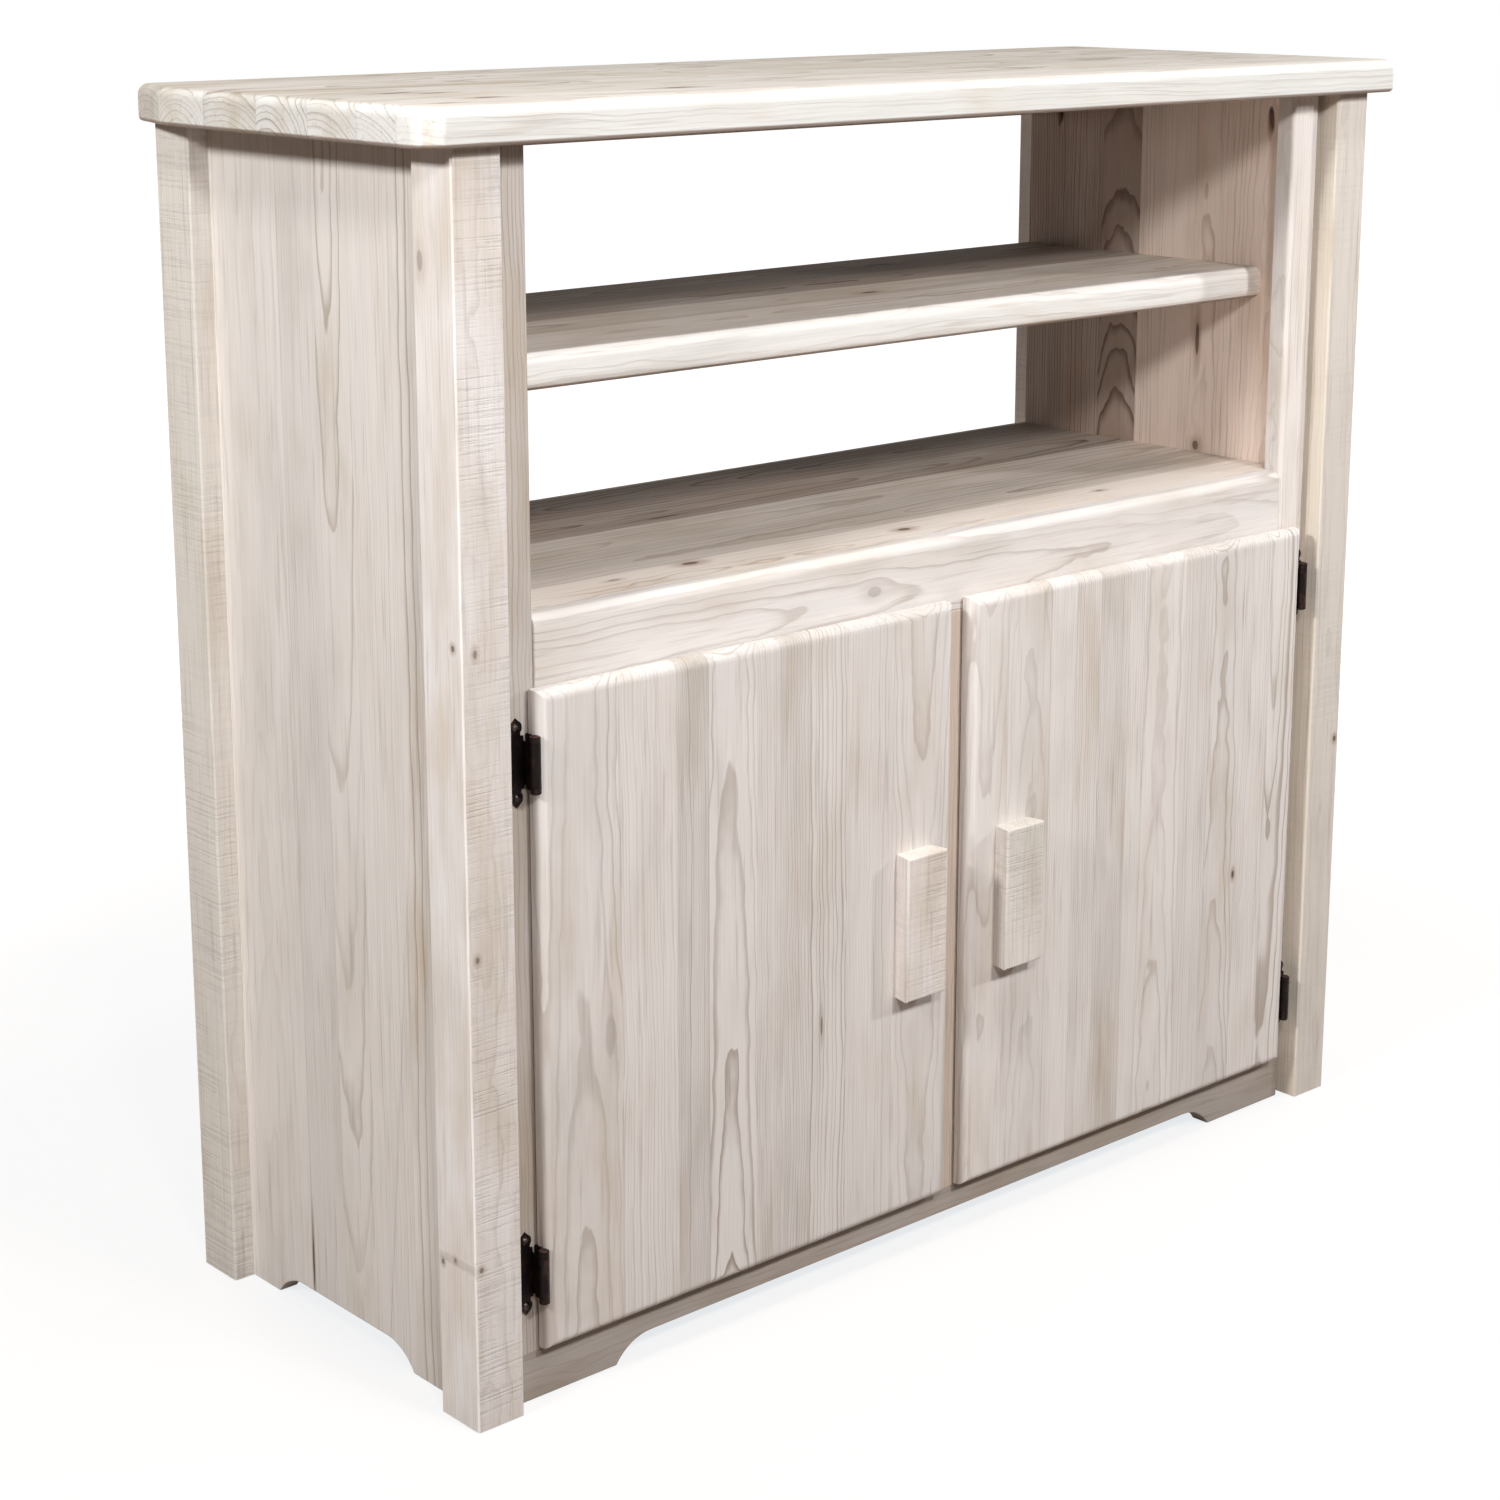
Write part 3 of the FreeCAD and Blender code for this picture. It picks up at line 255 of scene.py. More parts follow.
def make_rings_group():
    """Year rings of a log that lies along the board: how dark the late wood is at a point. Slow
    noise bends the log, and fast noise roughens its rings."""
    numbers = ("pith", "deep", "climb", "ring", "ink", "seed")
    inputs = {"board": "vector", **{name: "number" for name in numbers}}
    tree, graph, given = new_group("pine_rings", inputs, {"line": "number", "shade": "number"})
    board, seed = given["board"], given["seed"]
    across, depth, along = graph.parts(board)
    drift = graph.noise(board, (3.0, 3.0, 2.2), seed, 1.5) - 0.5
    sway = graph.noise(board, (5.0, 5.0, 3.0), seed + 3.7, 1.5) - 0.5
    wave = graph.noise(board, (22.0, 22.0, 15.0), seed + 6.6, 2.0) - 0.5
    jitter = graph.noise(board, (90.0, 90.0, 14.0), seed + 8.1, 2.0) - 0.5
    side = across - given["pith"] + sway * 0.014
    under = given["deep"] - depth + given["climb"] * along + drift * 0.016
    radius = graph.vector("LENGTH", graph.joined(side, under, 0.0)) + wave * 0.0065 + jitter * 0.0022
    years = radius / given["ring"]
    uneven = graph.noise(graph.joined(years, 0.0, 0.0), (0.6, 1.0, 1.0), seed + 1.9, 0.0)
    years = years + uneven * 1.6
    whole = graph.math("FLOOR", years)
    part = years - whole
    rise = graph.ease(part, 0.5, 0.94)
    fall = graph.ease(part, 0.95, 1.0, 1.0, 0.0)
    sharp = graph.math("POWER", rise, 2.6)
    own = graph.chance(whole + seed) * 0.6 + 0.4
    patch = graph.ease(graph.noise(board, (11.0, 11.0, 2.5), seed + 5.3, 2.0), 0.3, 0.62, 0.45, 1.0)
    line = sharp * fall * own * patch * given["ink"]
    shade = rise * fall * own * patch * given["ink"]
    close_group(graph, {"line": line, "shade": shade})
    return tree


def make_grain_group():
    """The fine fibres, dark flecks and soft patches of colour that every pine board has."""
    inputs = {"board": "vector", "seed": "number"}
    outputs = {"fibre": "number", "patch": "number", "tint": "number", "fleck": "number"}
    tree, graph, given = new_group("pine_grain", inputs, outputs)
    board, seed = given["board"], given["seed"]
    fibre = graph.noise(board, (640.0, 640.0, 13.0), seed + 2.3, 3.0) - 0.5
    cloud = graph.noise(board, (24.0, 24.0, 7.0), seed + 6.1, 4.0, colour=True)
    patch, tint, _ = graph.parts(cloud)
    streaks = graph.noise(board, (260.0, 260.0, 9.0), seed + 9.7, 3.0)
    fleck = graph.ease(streaks, 0.56, 0.74)
    close_group(graph, {"fibre": fibre, "patch": patch - 0.5, "tint": tint - 0.5, "fleck": fleck})
    return tree


def make_knot_group():
    """One knot: it parts the rings round it, and has a brown heart and a soft halo."""
    inputs = {"board": "vector", "place": "vector", "scales": "vector"}
    outputs = {"board": "vector", "heart": "number", "halo": "number"}
    tree, graph, given = new_group("pine_knot", inputs, outputs)
    offset = graph.vector("SUBTRACT", given["board"], given["place"])
    wobble = graph.noise(given["board"], (90.0, 90.0, 60.0), 4.4, 2.0) - 0.5
    far = graph.vector("LENGTH", graph.vector("MULTIPLY", offset, given["scales"])) + wobble * 0.5
    parting = graph.ease(far, 0.4, 5.0, 0.72, 0.0)
    # Zero along the knot's own axis, where its scale is zero, so that rings part only beside it.
    facing = graph.vector("SIGN", given["scales"])
    aside, inward, _ = graph.parts(graph.vector("MULTIPLY", offset, facing))
    shift = graph.joined(aside * parting, inward * parting, 0.0)
    board = graph.vector("SUBTRACT", given["board"], shift)
    heart = graph.ease(far, 0.75, 1.15, 1.0, 0.0)
    halo = graph.ease(far, 0.9, 3.2, 1.0, 0.0)
    close_group(graph, {"board": board, "heart": heart, "halo": halo})
    return tree


def make_saw_group():
    """Marks that a band saw leaves across the grain, stronger in some patches than in others."""
    inputs = {"board": "vector", "seed": "number"}
    tree, graph, given = new_group("saw_marks", inputs, {"mark": "number"})
    board, seed = given["board"], given["seed"]
    teeth = graph.noise(board, (7.0, 7.0, 470.0), seed, 2.0)
    coarse = graph.noise(board, (4.0, 4.0, 110.0), seed + 4.9, 1.0)
    broken = graph.noise(board, (130.0, 130.0, 260.0), seed + 7.7, 2.0)
    cut = teeth * 0.62 + coarse * 0.22 + broken * 0.26
    patch = graph.ease(graph.noise(board, (16.0, 16.0, 7.0), seed + 2.2, 2.0), 0.36, 0.62, 0.3, 1.0)
    close_group(graph, {"mark": graph.ease(cut, 0.53, 0.66) * patch})
    return tree


RINGS_GROUP = make_rings_group()
GRAIN_GROUP = make_grain_group()
KNOT_GROUP = make_knot_group()
SAW_GROUP = make_saw_group()


def axes_of(name):
    """A board's axes, found from its box: across it, through it and along its grain."""
    low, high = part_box(name)
    sizes = [high[i] - low[i] for i in range(3)]
    along = sizes.index(max(sizes))
    depth = sizes.index(min(sizes))
    across = 3 - along - depth
    return across, depth, along


def object_place(graph):
    """A point's place in the part's frame, which moves with the piece."""
    return Wire(graph, graph.node("ShaderNodeTexCoord").outputs["Object"])


def board_place(graph, name, face):
    """A point's place in a board: across it, its depth under the face, and along the grain."""
    parts = graph.parts(object_place(graph))
    across, depth, along = axes_of(name)
    low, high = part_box(name)
    if face == "high":
        under = high[depth] - parts[depth]
    else:
        under = parts[depth] - low[depth]
    return graph.joined(parts[across], under, parts[along])


def chosen_staves(name, widths):
    """Staves for a board that the photograph doesn't show closely, the same at every run."""
    dice = random.Random(name)
    across, _, _ = axes_of(name)
    low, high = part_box(name)
    place, end = low[across] / MM, high[across] / MM
    staves = []
    while place < end:
        width = dice.uniform(*widths)
        edge = place + width
        if end - edge < widths[0] * 0.6:
            edge = end
        middle = (place + edge) / 2
        staves.append(Stave(
            end=edge,
            pith=middle + dice.choice((-1, 1)) * dice.uniform(0, 110),
            deep=dice.uniform(12, 75),
            climb=dice.uniform(-28, 28),
            ring=dice.uniform(2.6, 5.2),
            ink=dice.uniform(0.35, 0.9),
            tone=dice.uniform(-0.35, 0.35),
            warm=dice.uniform(-0.3, 0.5),
        ))
        place = edge
    return staves


def new_material(name):
    """A material with an empty tree that ends in a Principled shader."""
    material = bpy.data.materials.new(name)
    material.use_nodes = True
    material.node_tree.nodes.clear()
    graph = Graph(material.node_tree)
    shader = graph.node("ShaderNodeBsdfPrincipled")
    output = graph.node("ShaderNodeOutputMaterial")
    material.node_tree.links.new(shader.outputs[0], output.inputs["Surface"])
    return material, graph, shader


def bump(graph, height, depth):
    """The normal of a surface with a relief of some depth, in metres."""
    made = graph.node("ShaderNodeBump")
    made.inputs["Strength"].default_value = 1.0
    made.inputs["Distance"].default_value = depth
    graph.plug(made.inputs["Height"], height)
    return Wire(graph, made.outputs["Normal"])


# How strongly each mark shows in the pine's colour.
LINE_INK = 0.88
FLECK_INK = 0.25
HALO_INK = 0.55
HEART_INK = 0.85

# How much each mark lightens or darkens the pine.
FIBRE_LIGHT = 0.22
TONE_LIGHT = 0.3
PATCH_DARK = 0.12
JOINT_DARK = 0.1
SAW_DARK = 0.12

# How far each mark rises or sinks, as a share of the relief. Sawing leaves less of the grain.
FIBRE_RISE = 0.5
LINE_RISE = 0.6
HEART_SINK = 0.7
SAWN_GRAIN = 0.6

RELIEF = 0.00022
GLUE_LINE = 0.0007
PLANED_UNTIL, SAWN_FROM = 0.0005, 0.002
PINE_ROUGHNESS = 0.76
LINE_GLOSS = 0.1
PINE_SPECULAR = 0.16
STAVE_WIDTHS = (32, 85)


def grain_round_knots(graph, board, knots):
    """Bends the board's place round its knots, and gives each point's share of heart and halo."""
    heart = halo = 0.0
    for knot in knots:
        radius = knot.radius * MM
        place = knot.across * MM
        wide, deep = (0.0, 1.0) if knot.side else (1.0, 0.0)
        spot = use_group(graph, KNOT_GROUP, {
            "board": board,
            "place": (place * wide, place * deep, knot.along * MM),
            "scales": (wide / radius, deep / radius, 1 / (radius * knot.long)),
        })
        board = spot["board"]
        heart = graph.math("MAXIMUM", heart, spot["heart"] * knot.dark)
        halo = graph.math("MAXIMUM", halo, spot["halo"] * knot.dark)
    return board, heart, halo


def pine_colour(graph, pale, stave, rings, grain):
    """Pine that is pale, brown or grey in patches, with the darker late wood of its rings."""
    # red is full on the darkest back staves, where its colour is partly painted shade.
    red = graph.ease(stave["warm"], 0.65, 1.0)
    brown = graph.ease(stave["warm"] + grain["tint"] * 2.6, -0.1, 1.2, 0.0, 0.8)
    dull = graph.ease(grain["patch"] * 2.6 - stave["tone"] * 0.5, -0.1, 1.2, 0.0, 0.75)
    late = graph.blend(red, LATE_WOOD, RED_LATE_WOOD_AND_PAINTED_SHADE)
    shade = rings["shade"] * (red * 0.5 + 0.16)
    colour = graph.blend(brown, pale, graph.blend(red, TAN, RED_TAN_AND_PAINTED_SHADE))
    colour = graph.blend(dull, colour, GREY)
    colour = graph.blend(shade, colour, graph.blend(red, TAN, late))
    colour = graph.blend(rings["line"] * LINE_INK, colour, late)
    return graph.blend(grain["fleck"] * FLECK_INK, colour, LATE_WOOD)


def with_painted_light(graph, colour, board, tints):
    """The colour with each face's painted light or shade near that face."""
    place = graph.parts(board)
    for tint in tints:
        away = graph.math("ABSOLUTE", place[tint.part] - tint.place * MM)
        share = graph.ease(away, tint.reach * MM * FULL_PAINTED_LIGHT, tint.reach * MM, 1.0, 0.0)
        if tint.end is not None:
            share = share * graph.math("LESS_THAN", place[ACROSS], tint.end * MM)
        colour = graph.blend(share, colour, (*tint.wash, 1.0), "MULTIPLY")
    return colour


def pine(name, face="low", staves=None, knots=(), tints=(), sawn=0.0, planed=False, pale=CREAM,
         wash=(1.0, 1.0, 1.0)):
    """The material of one pine board. face tells which wide side its staves are seen from. sawn is
    the strength of its saw marks, and planed leaves them off that side. The wash is how much of red,
    green and blue the wood keeps: its whitewash, and on some boards painted shade."""
    material, graph, shader = new_material(f"pine_{name}")
    staves = staves or chosen_staves(name, STAVE_WIDTHS)
    across_axis, _, _ = axes_of(name)
    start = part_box(name)[0][across_axis]
    board = board_place(graph, name, face)
    stave = read_staves(graph, graph.parts(board)[ACROSS], start, staves)
    seed = stave["low"] * 31.0 + random.Random(name).uniform(1, 9)
    board, heart, halo = grain_round_knots(graph, board, knots)
    rings = use_group(graph, RINGS_GROUP, {
        "board": board, "seed": seed,
        **{key: stave[key] for key in ("pith", "deep", "climb", "ring", "ink")},
    })
    grain = use_group(graph, GRAIN_GROUP, {"board": board, "seed": seed})
    across, depth, _ = graph.parts(board)
    near = graph.math("MINIMUM", across - stave["low"], stave["high"] - across)
    joint = graph.ease(near, 0.0, GLUE_LINE, 1.0, 0.0)

    colour = pine_colour(graph, pale, stave, rings, grain)
    colour = graph.blend(halo * HALO_INK, colour, KNOT_RING)
    colour = graph.blend(heart * HEART_INK, colour, KNOT_HEART)
    level = grain["fibre"] * FIBRE_LIGHT - grain["patch"] * PATCH_DARK + stave["tone"] * TONE_LIGHT
    level = level - joint * JOINT_DARK + 1.0
    height = grain["fibre"] * FIBRE_RISE + rings["line"] * LINE_RISE - heart * HEART_SINK
    if sawn:
        mark = use_group(graph, SAW_GROUP, {"board": board, "seed": seed})["mark"] * sawn
        if planed:
            mark = mark * graph.ease(depth, PLANED_UNTIL, SAWN_FROM)
        level = level - mark * SAW_DARK
        height = height * SAWN_GRAIN - mark
    washed = graph.joined(*(level * part for part in wash))
    colour = graph.blend(1.0, colour, washed, "MULTIPLY")
    colour = with_painted_light(graph, colour, board, tints)
    graph.plug(shader.inputs["Base Color"], colour)
    graph.plug(shader.inputs["Roughness"], PINE_ROUGHNESS - rings["line"] * LINE_GLOSS)
    graph.plug(shader.inputs["Normal"], bump(graph, height, RELIEF))
    shader.inputs["Specular IOR Level"].default_value = PINE_SPECULAR
    return material


def dowel_wood():
    """End grain of the dowels' hard wood, a shade browner than the pine."""
    material, graph, shader = new_material("dowel_wood")
    place = object_place(graph)
    pores = graph.noise(place, (700.0, 700.0, 700.0), 3.0, 2.0)
    cloud = graph.noise(place, (60.0, 60.0, 60.0), 8.0, 2.0)
    colour = graph.blend(graph.ease(cloud, 0.3, 0.7), srgb(190, 165, 136), srgb(162, 134, 106))
    colour = graph.blend(graph.ease(pores, 0.55, 0.75) * 0.5, colour, srgb(96, 72, 54))
    graph.plug(shader.inputs["Base Color"], colour)
    shader.inputs["Roughness"].default_value = 0.7
    graph.plug(shader.inputs["Normal"], bump(graph, pores, 0.0002))
    return material


def bronze(name, dark, worn, rough):
    """Oil-rubbed bronze: near black, with rubbed brown patches placed by noise."""
    material, graph, shader = new_material(name)
    place = object_place(graph)
    cloud = graph.noise(place, (120.0, 120.0, 70.0), 2.0, 4.0)
    brushed = graph.noise(place, (1500.0, 1500.0, 60.0), 5.0, 2.0)
    rubbed = graph.ease(cloud * 0.8 + brushed * 0.3, 0.52, 0.8)
    graph.plug(shader.inputs["Base Color"], graph.blend(rubbed, dark, worn))
    graph.plug(shader.inputs["Roughness"], rough - rubbed * 0.1 + brushed * 0.08)
    shader.inputs["Metallic"].default_value = 0.85
    graph.plug(shader.inputs["Normal"], bump(graph, brushed + cloud, 0.00015))
    return material


def steel():
    """Zinc-plated screw steel with fine turning marks."""
    material, graph, shader = new_material("screw_steel")
    fine = graph.noise(object_place(graph), (900.0, 900.0, 900.0), 2.0, 3.0)
    colour = graph.blend(graph.ease(fine, 0.3, 0.7), srgb(168, 168, 166), srgb(120, 118, 112))
    graph.plug(shader.inputs["Base Color"], colour)
    graph.plug(shader.inputs["Roughness"], fine * 0.2 + 0.32)
    shader.inputs["Metallic"].default_value = 1.0
    graph.plug(shader.inputs["Normal"], bump(graph, fine, 0.00008))
    return material


# The staves and knots of the boards that the photograph shows.
LEFT_DOOR = [
    Stave(-386.8, -425, 34, 26, 6.0, 0.55, 0.05, 0.15),
    Stave(-327.7, -455, 30, 8, 3.4, 0.50, 0.10, 0.00),
    Stave(-294.3, -470, 12, 3, 2.1, 0.60, -0.26, 0.25),
    Stave(-241.3, -271, 24, 30, 5.4, 1.00, 0.10, -0.10),
    Stave(-215.7, -330, 20, 6, 2.9, 0.50, 0.00, 0.05),
    Stave(-183.3, -330, 25, 8, 3.1, 0.65, -0.10, 0.20),
    Stave(-140.2, -245, 30, 8, 4.3, 0.95, 0.05, 0.00),
    Stave(-85.6, 20, 60, 5, 3.0, 0.30, 0.05, 0.00),
    Stave(-13.0, -52, 46, -26, 5.0, 0.45, 0.12, -0.10),
]
LEFT_DOOR_KNOTS = [
    Knot(-168, 246, 1.3, 7.0, 0.7),
    Knot(-398, 298, 5.0, 3.6, 0.22),
]

RIGHT_DOOR = [
    Stave(54.6, 30, 40, -20, 5.0, 0.35, 0.10, 0.00),
    Stave(109.0, 84, 32, 22, 4.6, 0.42, -0.08, 0.10),
    Stave(143.7, 60, 20, 5, 2.6, 0.40, 0.08, 0.00),
    Stave(175.6, 40, 26, 6, 3.2, 0.80, -0.03, 0.10),
    Stave(215.2, 300, 20, 5, 2.6, 0.75, -0.15, 0.25),
    Stave(237.2, 120, 40, 6, 2.8, 0.45, 0.03, 0.00),
    Stave(293.2, 262, 34, 24, 5.0, 0.45, 0.08, 0.00),
    Stave(331.5, 230, 30, 9, 3.4, 0.45, -0.14, 0.05),
    Stave(378.4, 350, 30, 24, 4.6, 0.50, -0.10, 0.20),
    Stave(418.3, 330, 30, 12, 3.8, 0.60, 0.02, 0.00),
    Stave(464.5, 428, 24, -30, 5.8, 0.80, 0.06, -0.05),
]
RIGHT_DOOR_KNOTS = [Knot(377, 262, 1.7, 2.2, 1.0)]

SIDE_PANEL = [
    Stave(-115.0, -60, 26, 24, 6.0, 0.35, 0.00, 0.20),
    Stave(-87.5, -72, 9, -12, 12.0, 0.90, 0.05, 0.30),
    Stave(-32.0, 30, 30, 7, 3.2, 0.32, 0.06, -0.10),
    Stave(15.0, -2, 60, -50, 8.0, 0.66, 0.05, 0.15),
    Stave(64.6, 150, 20, 6, 3.0, 0.25, -0.10, -0.15),
    Stave(162.0, 120, 50, 14, 4.6, 0.22, 0.08, -0.05),
]
SIDE_PANEL_KNOTS = [Knot(64.6, 47, 1.1, 22.0, 1.0)]

# The back staves are dark and red: painted shade, partly their own reddish grain.
INNER_WALL_WITH_PAINTED_SHADE = [
    Stave(-75.0, -140, 30, 12, 4.0, 0.50, 0.30, 0.10),
    Stave(-42.3, -58, 30, 10, 4.4, 0.60, 0.20, 0.10),
    Stave(-1.4, 70, 20, 8, 3.0, 0.50, 0.20, 0.00),
    Stave(28.9, 90, 20, 8, 3.6, 0.50, 0.10, 0.10),
    Stave(79.2, 52, 4, 98, 5.2, 1.00, -0.85, 1.00),
    Stave(126.9, 210, 40, 12, 3.6, 0.80, -0.75, 0.90),
    Stave(179.0, 260, 20, 8, 3.4, 0.90, -1.00, 0.90),
]
INNER_WALL_KNOTS = [
    Knot(-50, 760, 2.4, 7.0, 0.9),
    Knot(-52, 654, 3.6, 1.3, 0.8),
]

TOP_BOARD = [
    Stave(-178.0, -190, 90, 10, 5.0, 0.40, 0.30, -0.10),
    Stave(-128.0, -118, 80, -40, 5.0, 0.60, 0.00, 0.10),
    Stave(-64.0, -76, 95, 36, 5.4, 0.70, -0.12, 0.30),
    Stave(6.0, -10, 70, 44, 5.4, 0.80, -0.22, 0.30),
    Stave(80.0, 56, 85, -46, 5.0, 0.80, -0.18, 0.45),
    Stave(150.0, 120, 75, 42, 5.2, 0.80, -0.05, 0.30),
    Stave(214.0, 180, 80, -36, 4.6, 0.70, -0.25, 0.45),
]
TOP_BOARD_KNOTS = [
    Knot(-48, -478, 4.5, 3.2, 0.8),
    Knot(-65, -456, 4.5, 2.6, 0.8),
    Knot(-139, -460, 4.0, 2.8, 0.9),
    Knot(-177, -523, 3.5, 2.4, 0.5),
    Knot(-131, -266, 4.5, 3.4, 0.8),
]

# The staves darken and turn red towards the back: painted shade.
SHELF_WITH_PAINTED_SHADE = [
    Stave(-101.0, -110, 30, 10, 5.0, 0.40, 0.10, -0.10),
    Stave(-40.0, -70, 24, -14, 5.0, 0.60, 0.35, 0.30),
    Stave(24.0, -10, 30, 12, 5.4, 0.70, -0.05, 0.50),
    Stave(90.0, 56, 22, 16, 5.4, 0.80, -0.80, 0.90),
    Stave(179.0, 140, 30, -16, 5.0, 0.80, -1.00, 1.00),
]
SHELF_KNOTS = [
    Knot(127.5, 205.9, 6.0, 3.0, 1.0),
    Knot(-20.3, 49.6, 3.5, 2.6, 0.8),
]

# The staves darken and turn red towards the back: painted shade.
DECK_WITH_PAINTED_SHADE = [
    Stave(-108.0, -150, 30, 10, 5.0, 0.55, 0.60, 0.00),
    Stave(-40.0, -76, 24, -14, 5.2, 0.70, -0.10, 0.20),
    Stave(32.0, -10, 30, 12, 5.4, 0.70, 0.10, 0.30),
    Stave(98.0, 66, 18, 40, 6.0, 1.00, -0.80, 0.90),
    Stave(179.0, 140, 24, -44, 5.4, 1.00, -1.00, 1.00),
]
DECK_KNOTS = [
    Knot(-116.6, -244.4, 4.5, 2.0, 0.9),
    Knot(-134.4, -15.5, 4.0, 1.8, 0.9),
    Knot(-124.5, -332, 2.5, 2.4, 0.5),
    Knot(-126.9, 245.8, 2.5, 2.0, 0.6),
    Knot(46, -138, 2.0, 10.0, 0.8),
]

LEFT_STILE = [Stave(-455.5, -540, 30, 8, 3.4, 0.9, 0.0, 0.6)]
MIDDLE_RAIL = [Stave(647.5, 606, 26, 34, 6.5, 0.38, 0.0, 0.1)]
MIDDLE_RAIL_KNOTS = [Knot(611.2, -94.7, 4.5, 1.8, 0.3)]

FRONT_LEFT_POST_KNOTS = [
    Knot(8.5, 392, 1.9, 1.3, 0.7, side=True),
    Knot(5.7, 137.5, 1.9, 1.3, 0.7, side=True),
    Knot(12.2, 631, 1.9, 1.8, 0.6, side=True),
    Knot(-152.9, 131.8, 1.8, 1.3, 0.8),
    Knot(-169.4, 138.3, 1.6, 1.3, 0.6),
    Knot(-184.9, 635.4, 1.9, 1.3, 0.8),
    Knot(-155.1, 921.2, 3.6, 2.2, 0.4),
]
FRONT_RIGHT_POST_KNOTS = [Knot(38.7, 370.4, 2.2, 1.3, 0.9, side=True)]

BACK_BOARDS = ("back_low_rail", "back_top_rail", "cupboard_back")


def dress(name, material):
    """Gives a CAD node its material."""
    for slot in nodes[name].material_slots:
        slot.material = material


def dress_pine(name, **looks):
    dress(name, pine(name, **looks))


def one_stave(name, **changes):
    """The single stave of a narrow piece, with some of its numbers set."""
    return [stave._replace(**changes) for stave in chosen_staves(name, (90, 120))]


def dress_upright_boards():
    """The doors, side panels and inner walls, with painted shade in the inner walls' screw pockets."""
    panel = (0.97, 0.965, 0.955)
    # Painted shade darkens the pockets, between a wall's faces, where only its pockets and rear edge
    # show. It stops short of that edge.
    painted_pocket_shade = Tint(DEPTH, 9, 8.6, (0.32, 0.26, 0.24), end=165)
    dress_pine("left_door", staves=LEFT_DOOR, knots=LEFT_DOOR_KNOTS, wash=(0.81, 0.805, 0.81))
    dress_pine("right_door", staves=RIGHT_DOOR, knots=RIGHT_DOOR_KNOTS, wash=(0.87, 0.865, 0.87))
    dress_pine("left_side_panel", staves=SIDE_PANEL, knots=SIDE_PANEL_KNOTS, wash=panel)
    dress_pine("right_side_panel", face="high", wash=panel)
    dress_pine("left_inner_wall", face="high", tints=[painted_pocket_shade], wash=(0.66, 0.57, 0.52))
    dress_pine("right_inner_wall", staves=INNER_WALL_WITH_PAINTED_SHADE, knots=INNER_WALL_KNOTS, tints=[painted_pocket_shade],
               wash=(1.09, 0.97, 0.90))


def dress_back():
    """The back's boards, which have no whitewash."""
    for name in BACK_BOARDS:
        dress_pine(name, face="high", pale=PLAIN_CREAM)


def dress_flat_boards():
    """The top and shelf, with painted shade on their undersides, the deck and the cupboard floor."""
    # Painted shade: the undersides of the top and shelf are darkened.
    painted_underside_shade = Tint(DEPTH, 30, 4, (0.5, 0.42, 0.38))
    # Painted highlights: the top's front edge and ends are lightened.
    painted_top_front_light = Tint(ACROSS, -211.5, 6, (1.02, 1.07, 1.12))
    painted_top_end_light = [Tint(ALONG, side * 568, 6, (1.18, 1.24, 1.30)) for side in (-1, 1)]
    # Painted highlight on the shelf's front edge.
    painted_shelf_front_light = Tint(ACROSS, -126, 9, (1.6, 1.72, 1.82))
    dress_pine("top_board", face="high", staves=TOP_BOARD, knots=TOP_BOARD_KNOTS,
               tints=[painted_underside_shade, painted_top_front_light, *painted_top_end_light], wash=(0.83, 0.82, 0.79))
    # The shelf's low wash is painted shade on its top.
    dress_pine("shelf", face="high", staves=SHELF_WITH_PAINTED_SHADE, knots=SHELF_KNOTS,
               tints=[painted_underside_shade, painted_shelf_front_light], wash=(0.70, 0.67, 0.64))
    dress_pine("deck", face="high", staves=DECK_WITH_PAINTED_SHADE, knots=DECK_KNOTS, wash=(0.72, 0.68, 0.64))
    dress_pine("cupboard_floor", face="high", wash=(0.85, 0.82, 0.8))


def dress_frame():
    """The face frame's stiles and rails, and the sills under the doors."""
    washes_and_painted_shade = {
        "right_stile": (1.09, 1.08, 1.08),
        "middle_stile": (0.84, 0.74, 0.66),
        # The bottom rail's low wash is painted shade under the doors.
        "bottom_rail": (0.53, 0.50, 0.48),
        "left_sill": (0.8, 0.78, 0.76),
        "right_sill": (0.8, 0.78, 0.76),
    }
    for name, wash in washes_and_painted_shade.items():
        dress_pine(name, staves=one_stave(name, ink=0.3, ring=3.0), wash=wash)
    # The left stile's low wash is painted shade in its groove between the post and the door.
    dress_pine("left_stile", staves=LEFT_STILE, wash=(0.66, 0.64, 0.63))
    dress_pine("middle_rail", staves=MIDDLE_RAIL, knots=MIDDLE_RAIL_KNOTS, wash=(0.90, 0.90, 0.91))


def dress_sawn_pieces():
    """The posts and handles, which keep their saw marks."""
    looks = {
        # The left faces of the front posts are lightened and that of the back left post darkened:
        # painted light and shade.
        "front_left_post": {
            "sawn": 0.9, "planed": True, "wash": (0.94, 0.94, 0.96),
            "knots": FRONT_LEFT_POST_KNOTS, "tints": [Tint(DEPTH, 0, 1.5, (1.17, 1.19, 1.20))],
        },
        "front_right_post": {
            "sawn": 0.3, "wash": (0.82, 0.80, 0.765),
            "knots": FRONT_RIGHT_POST_KNOTS, "tints": [Tint(DEPTH, 0, 1.5, (1.09, 1.07, 1.02))],
        },
        "back_left_post": {
            "sawn": 0.8, "wash": (0.94, 0.94, 0.92),
            "tints": [Tint(DEPTH, 0, 1.5, (0.95, 0.95, 0.93))],
        },
        "back_right_post": {"sawn": 0.8, "wash": (0.90, 0.89, 0.88)},
        "left_handle": {"sawn": 0.8, "wash": (0.91, 0.90, 0.91)},
        "right_handle": {"sawn": 0.8, "wash": (0.93, 0.92, 0.90)},
    }
    for name, look in looks.items():
        dress_pine(name, staves=one_stave(name, ink=0.22), **look)


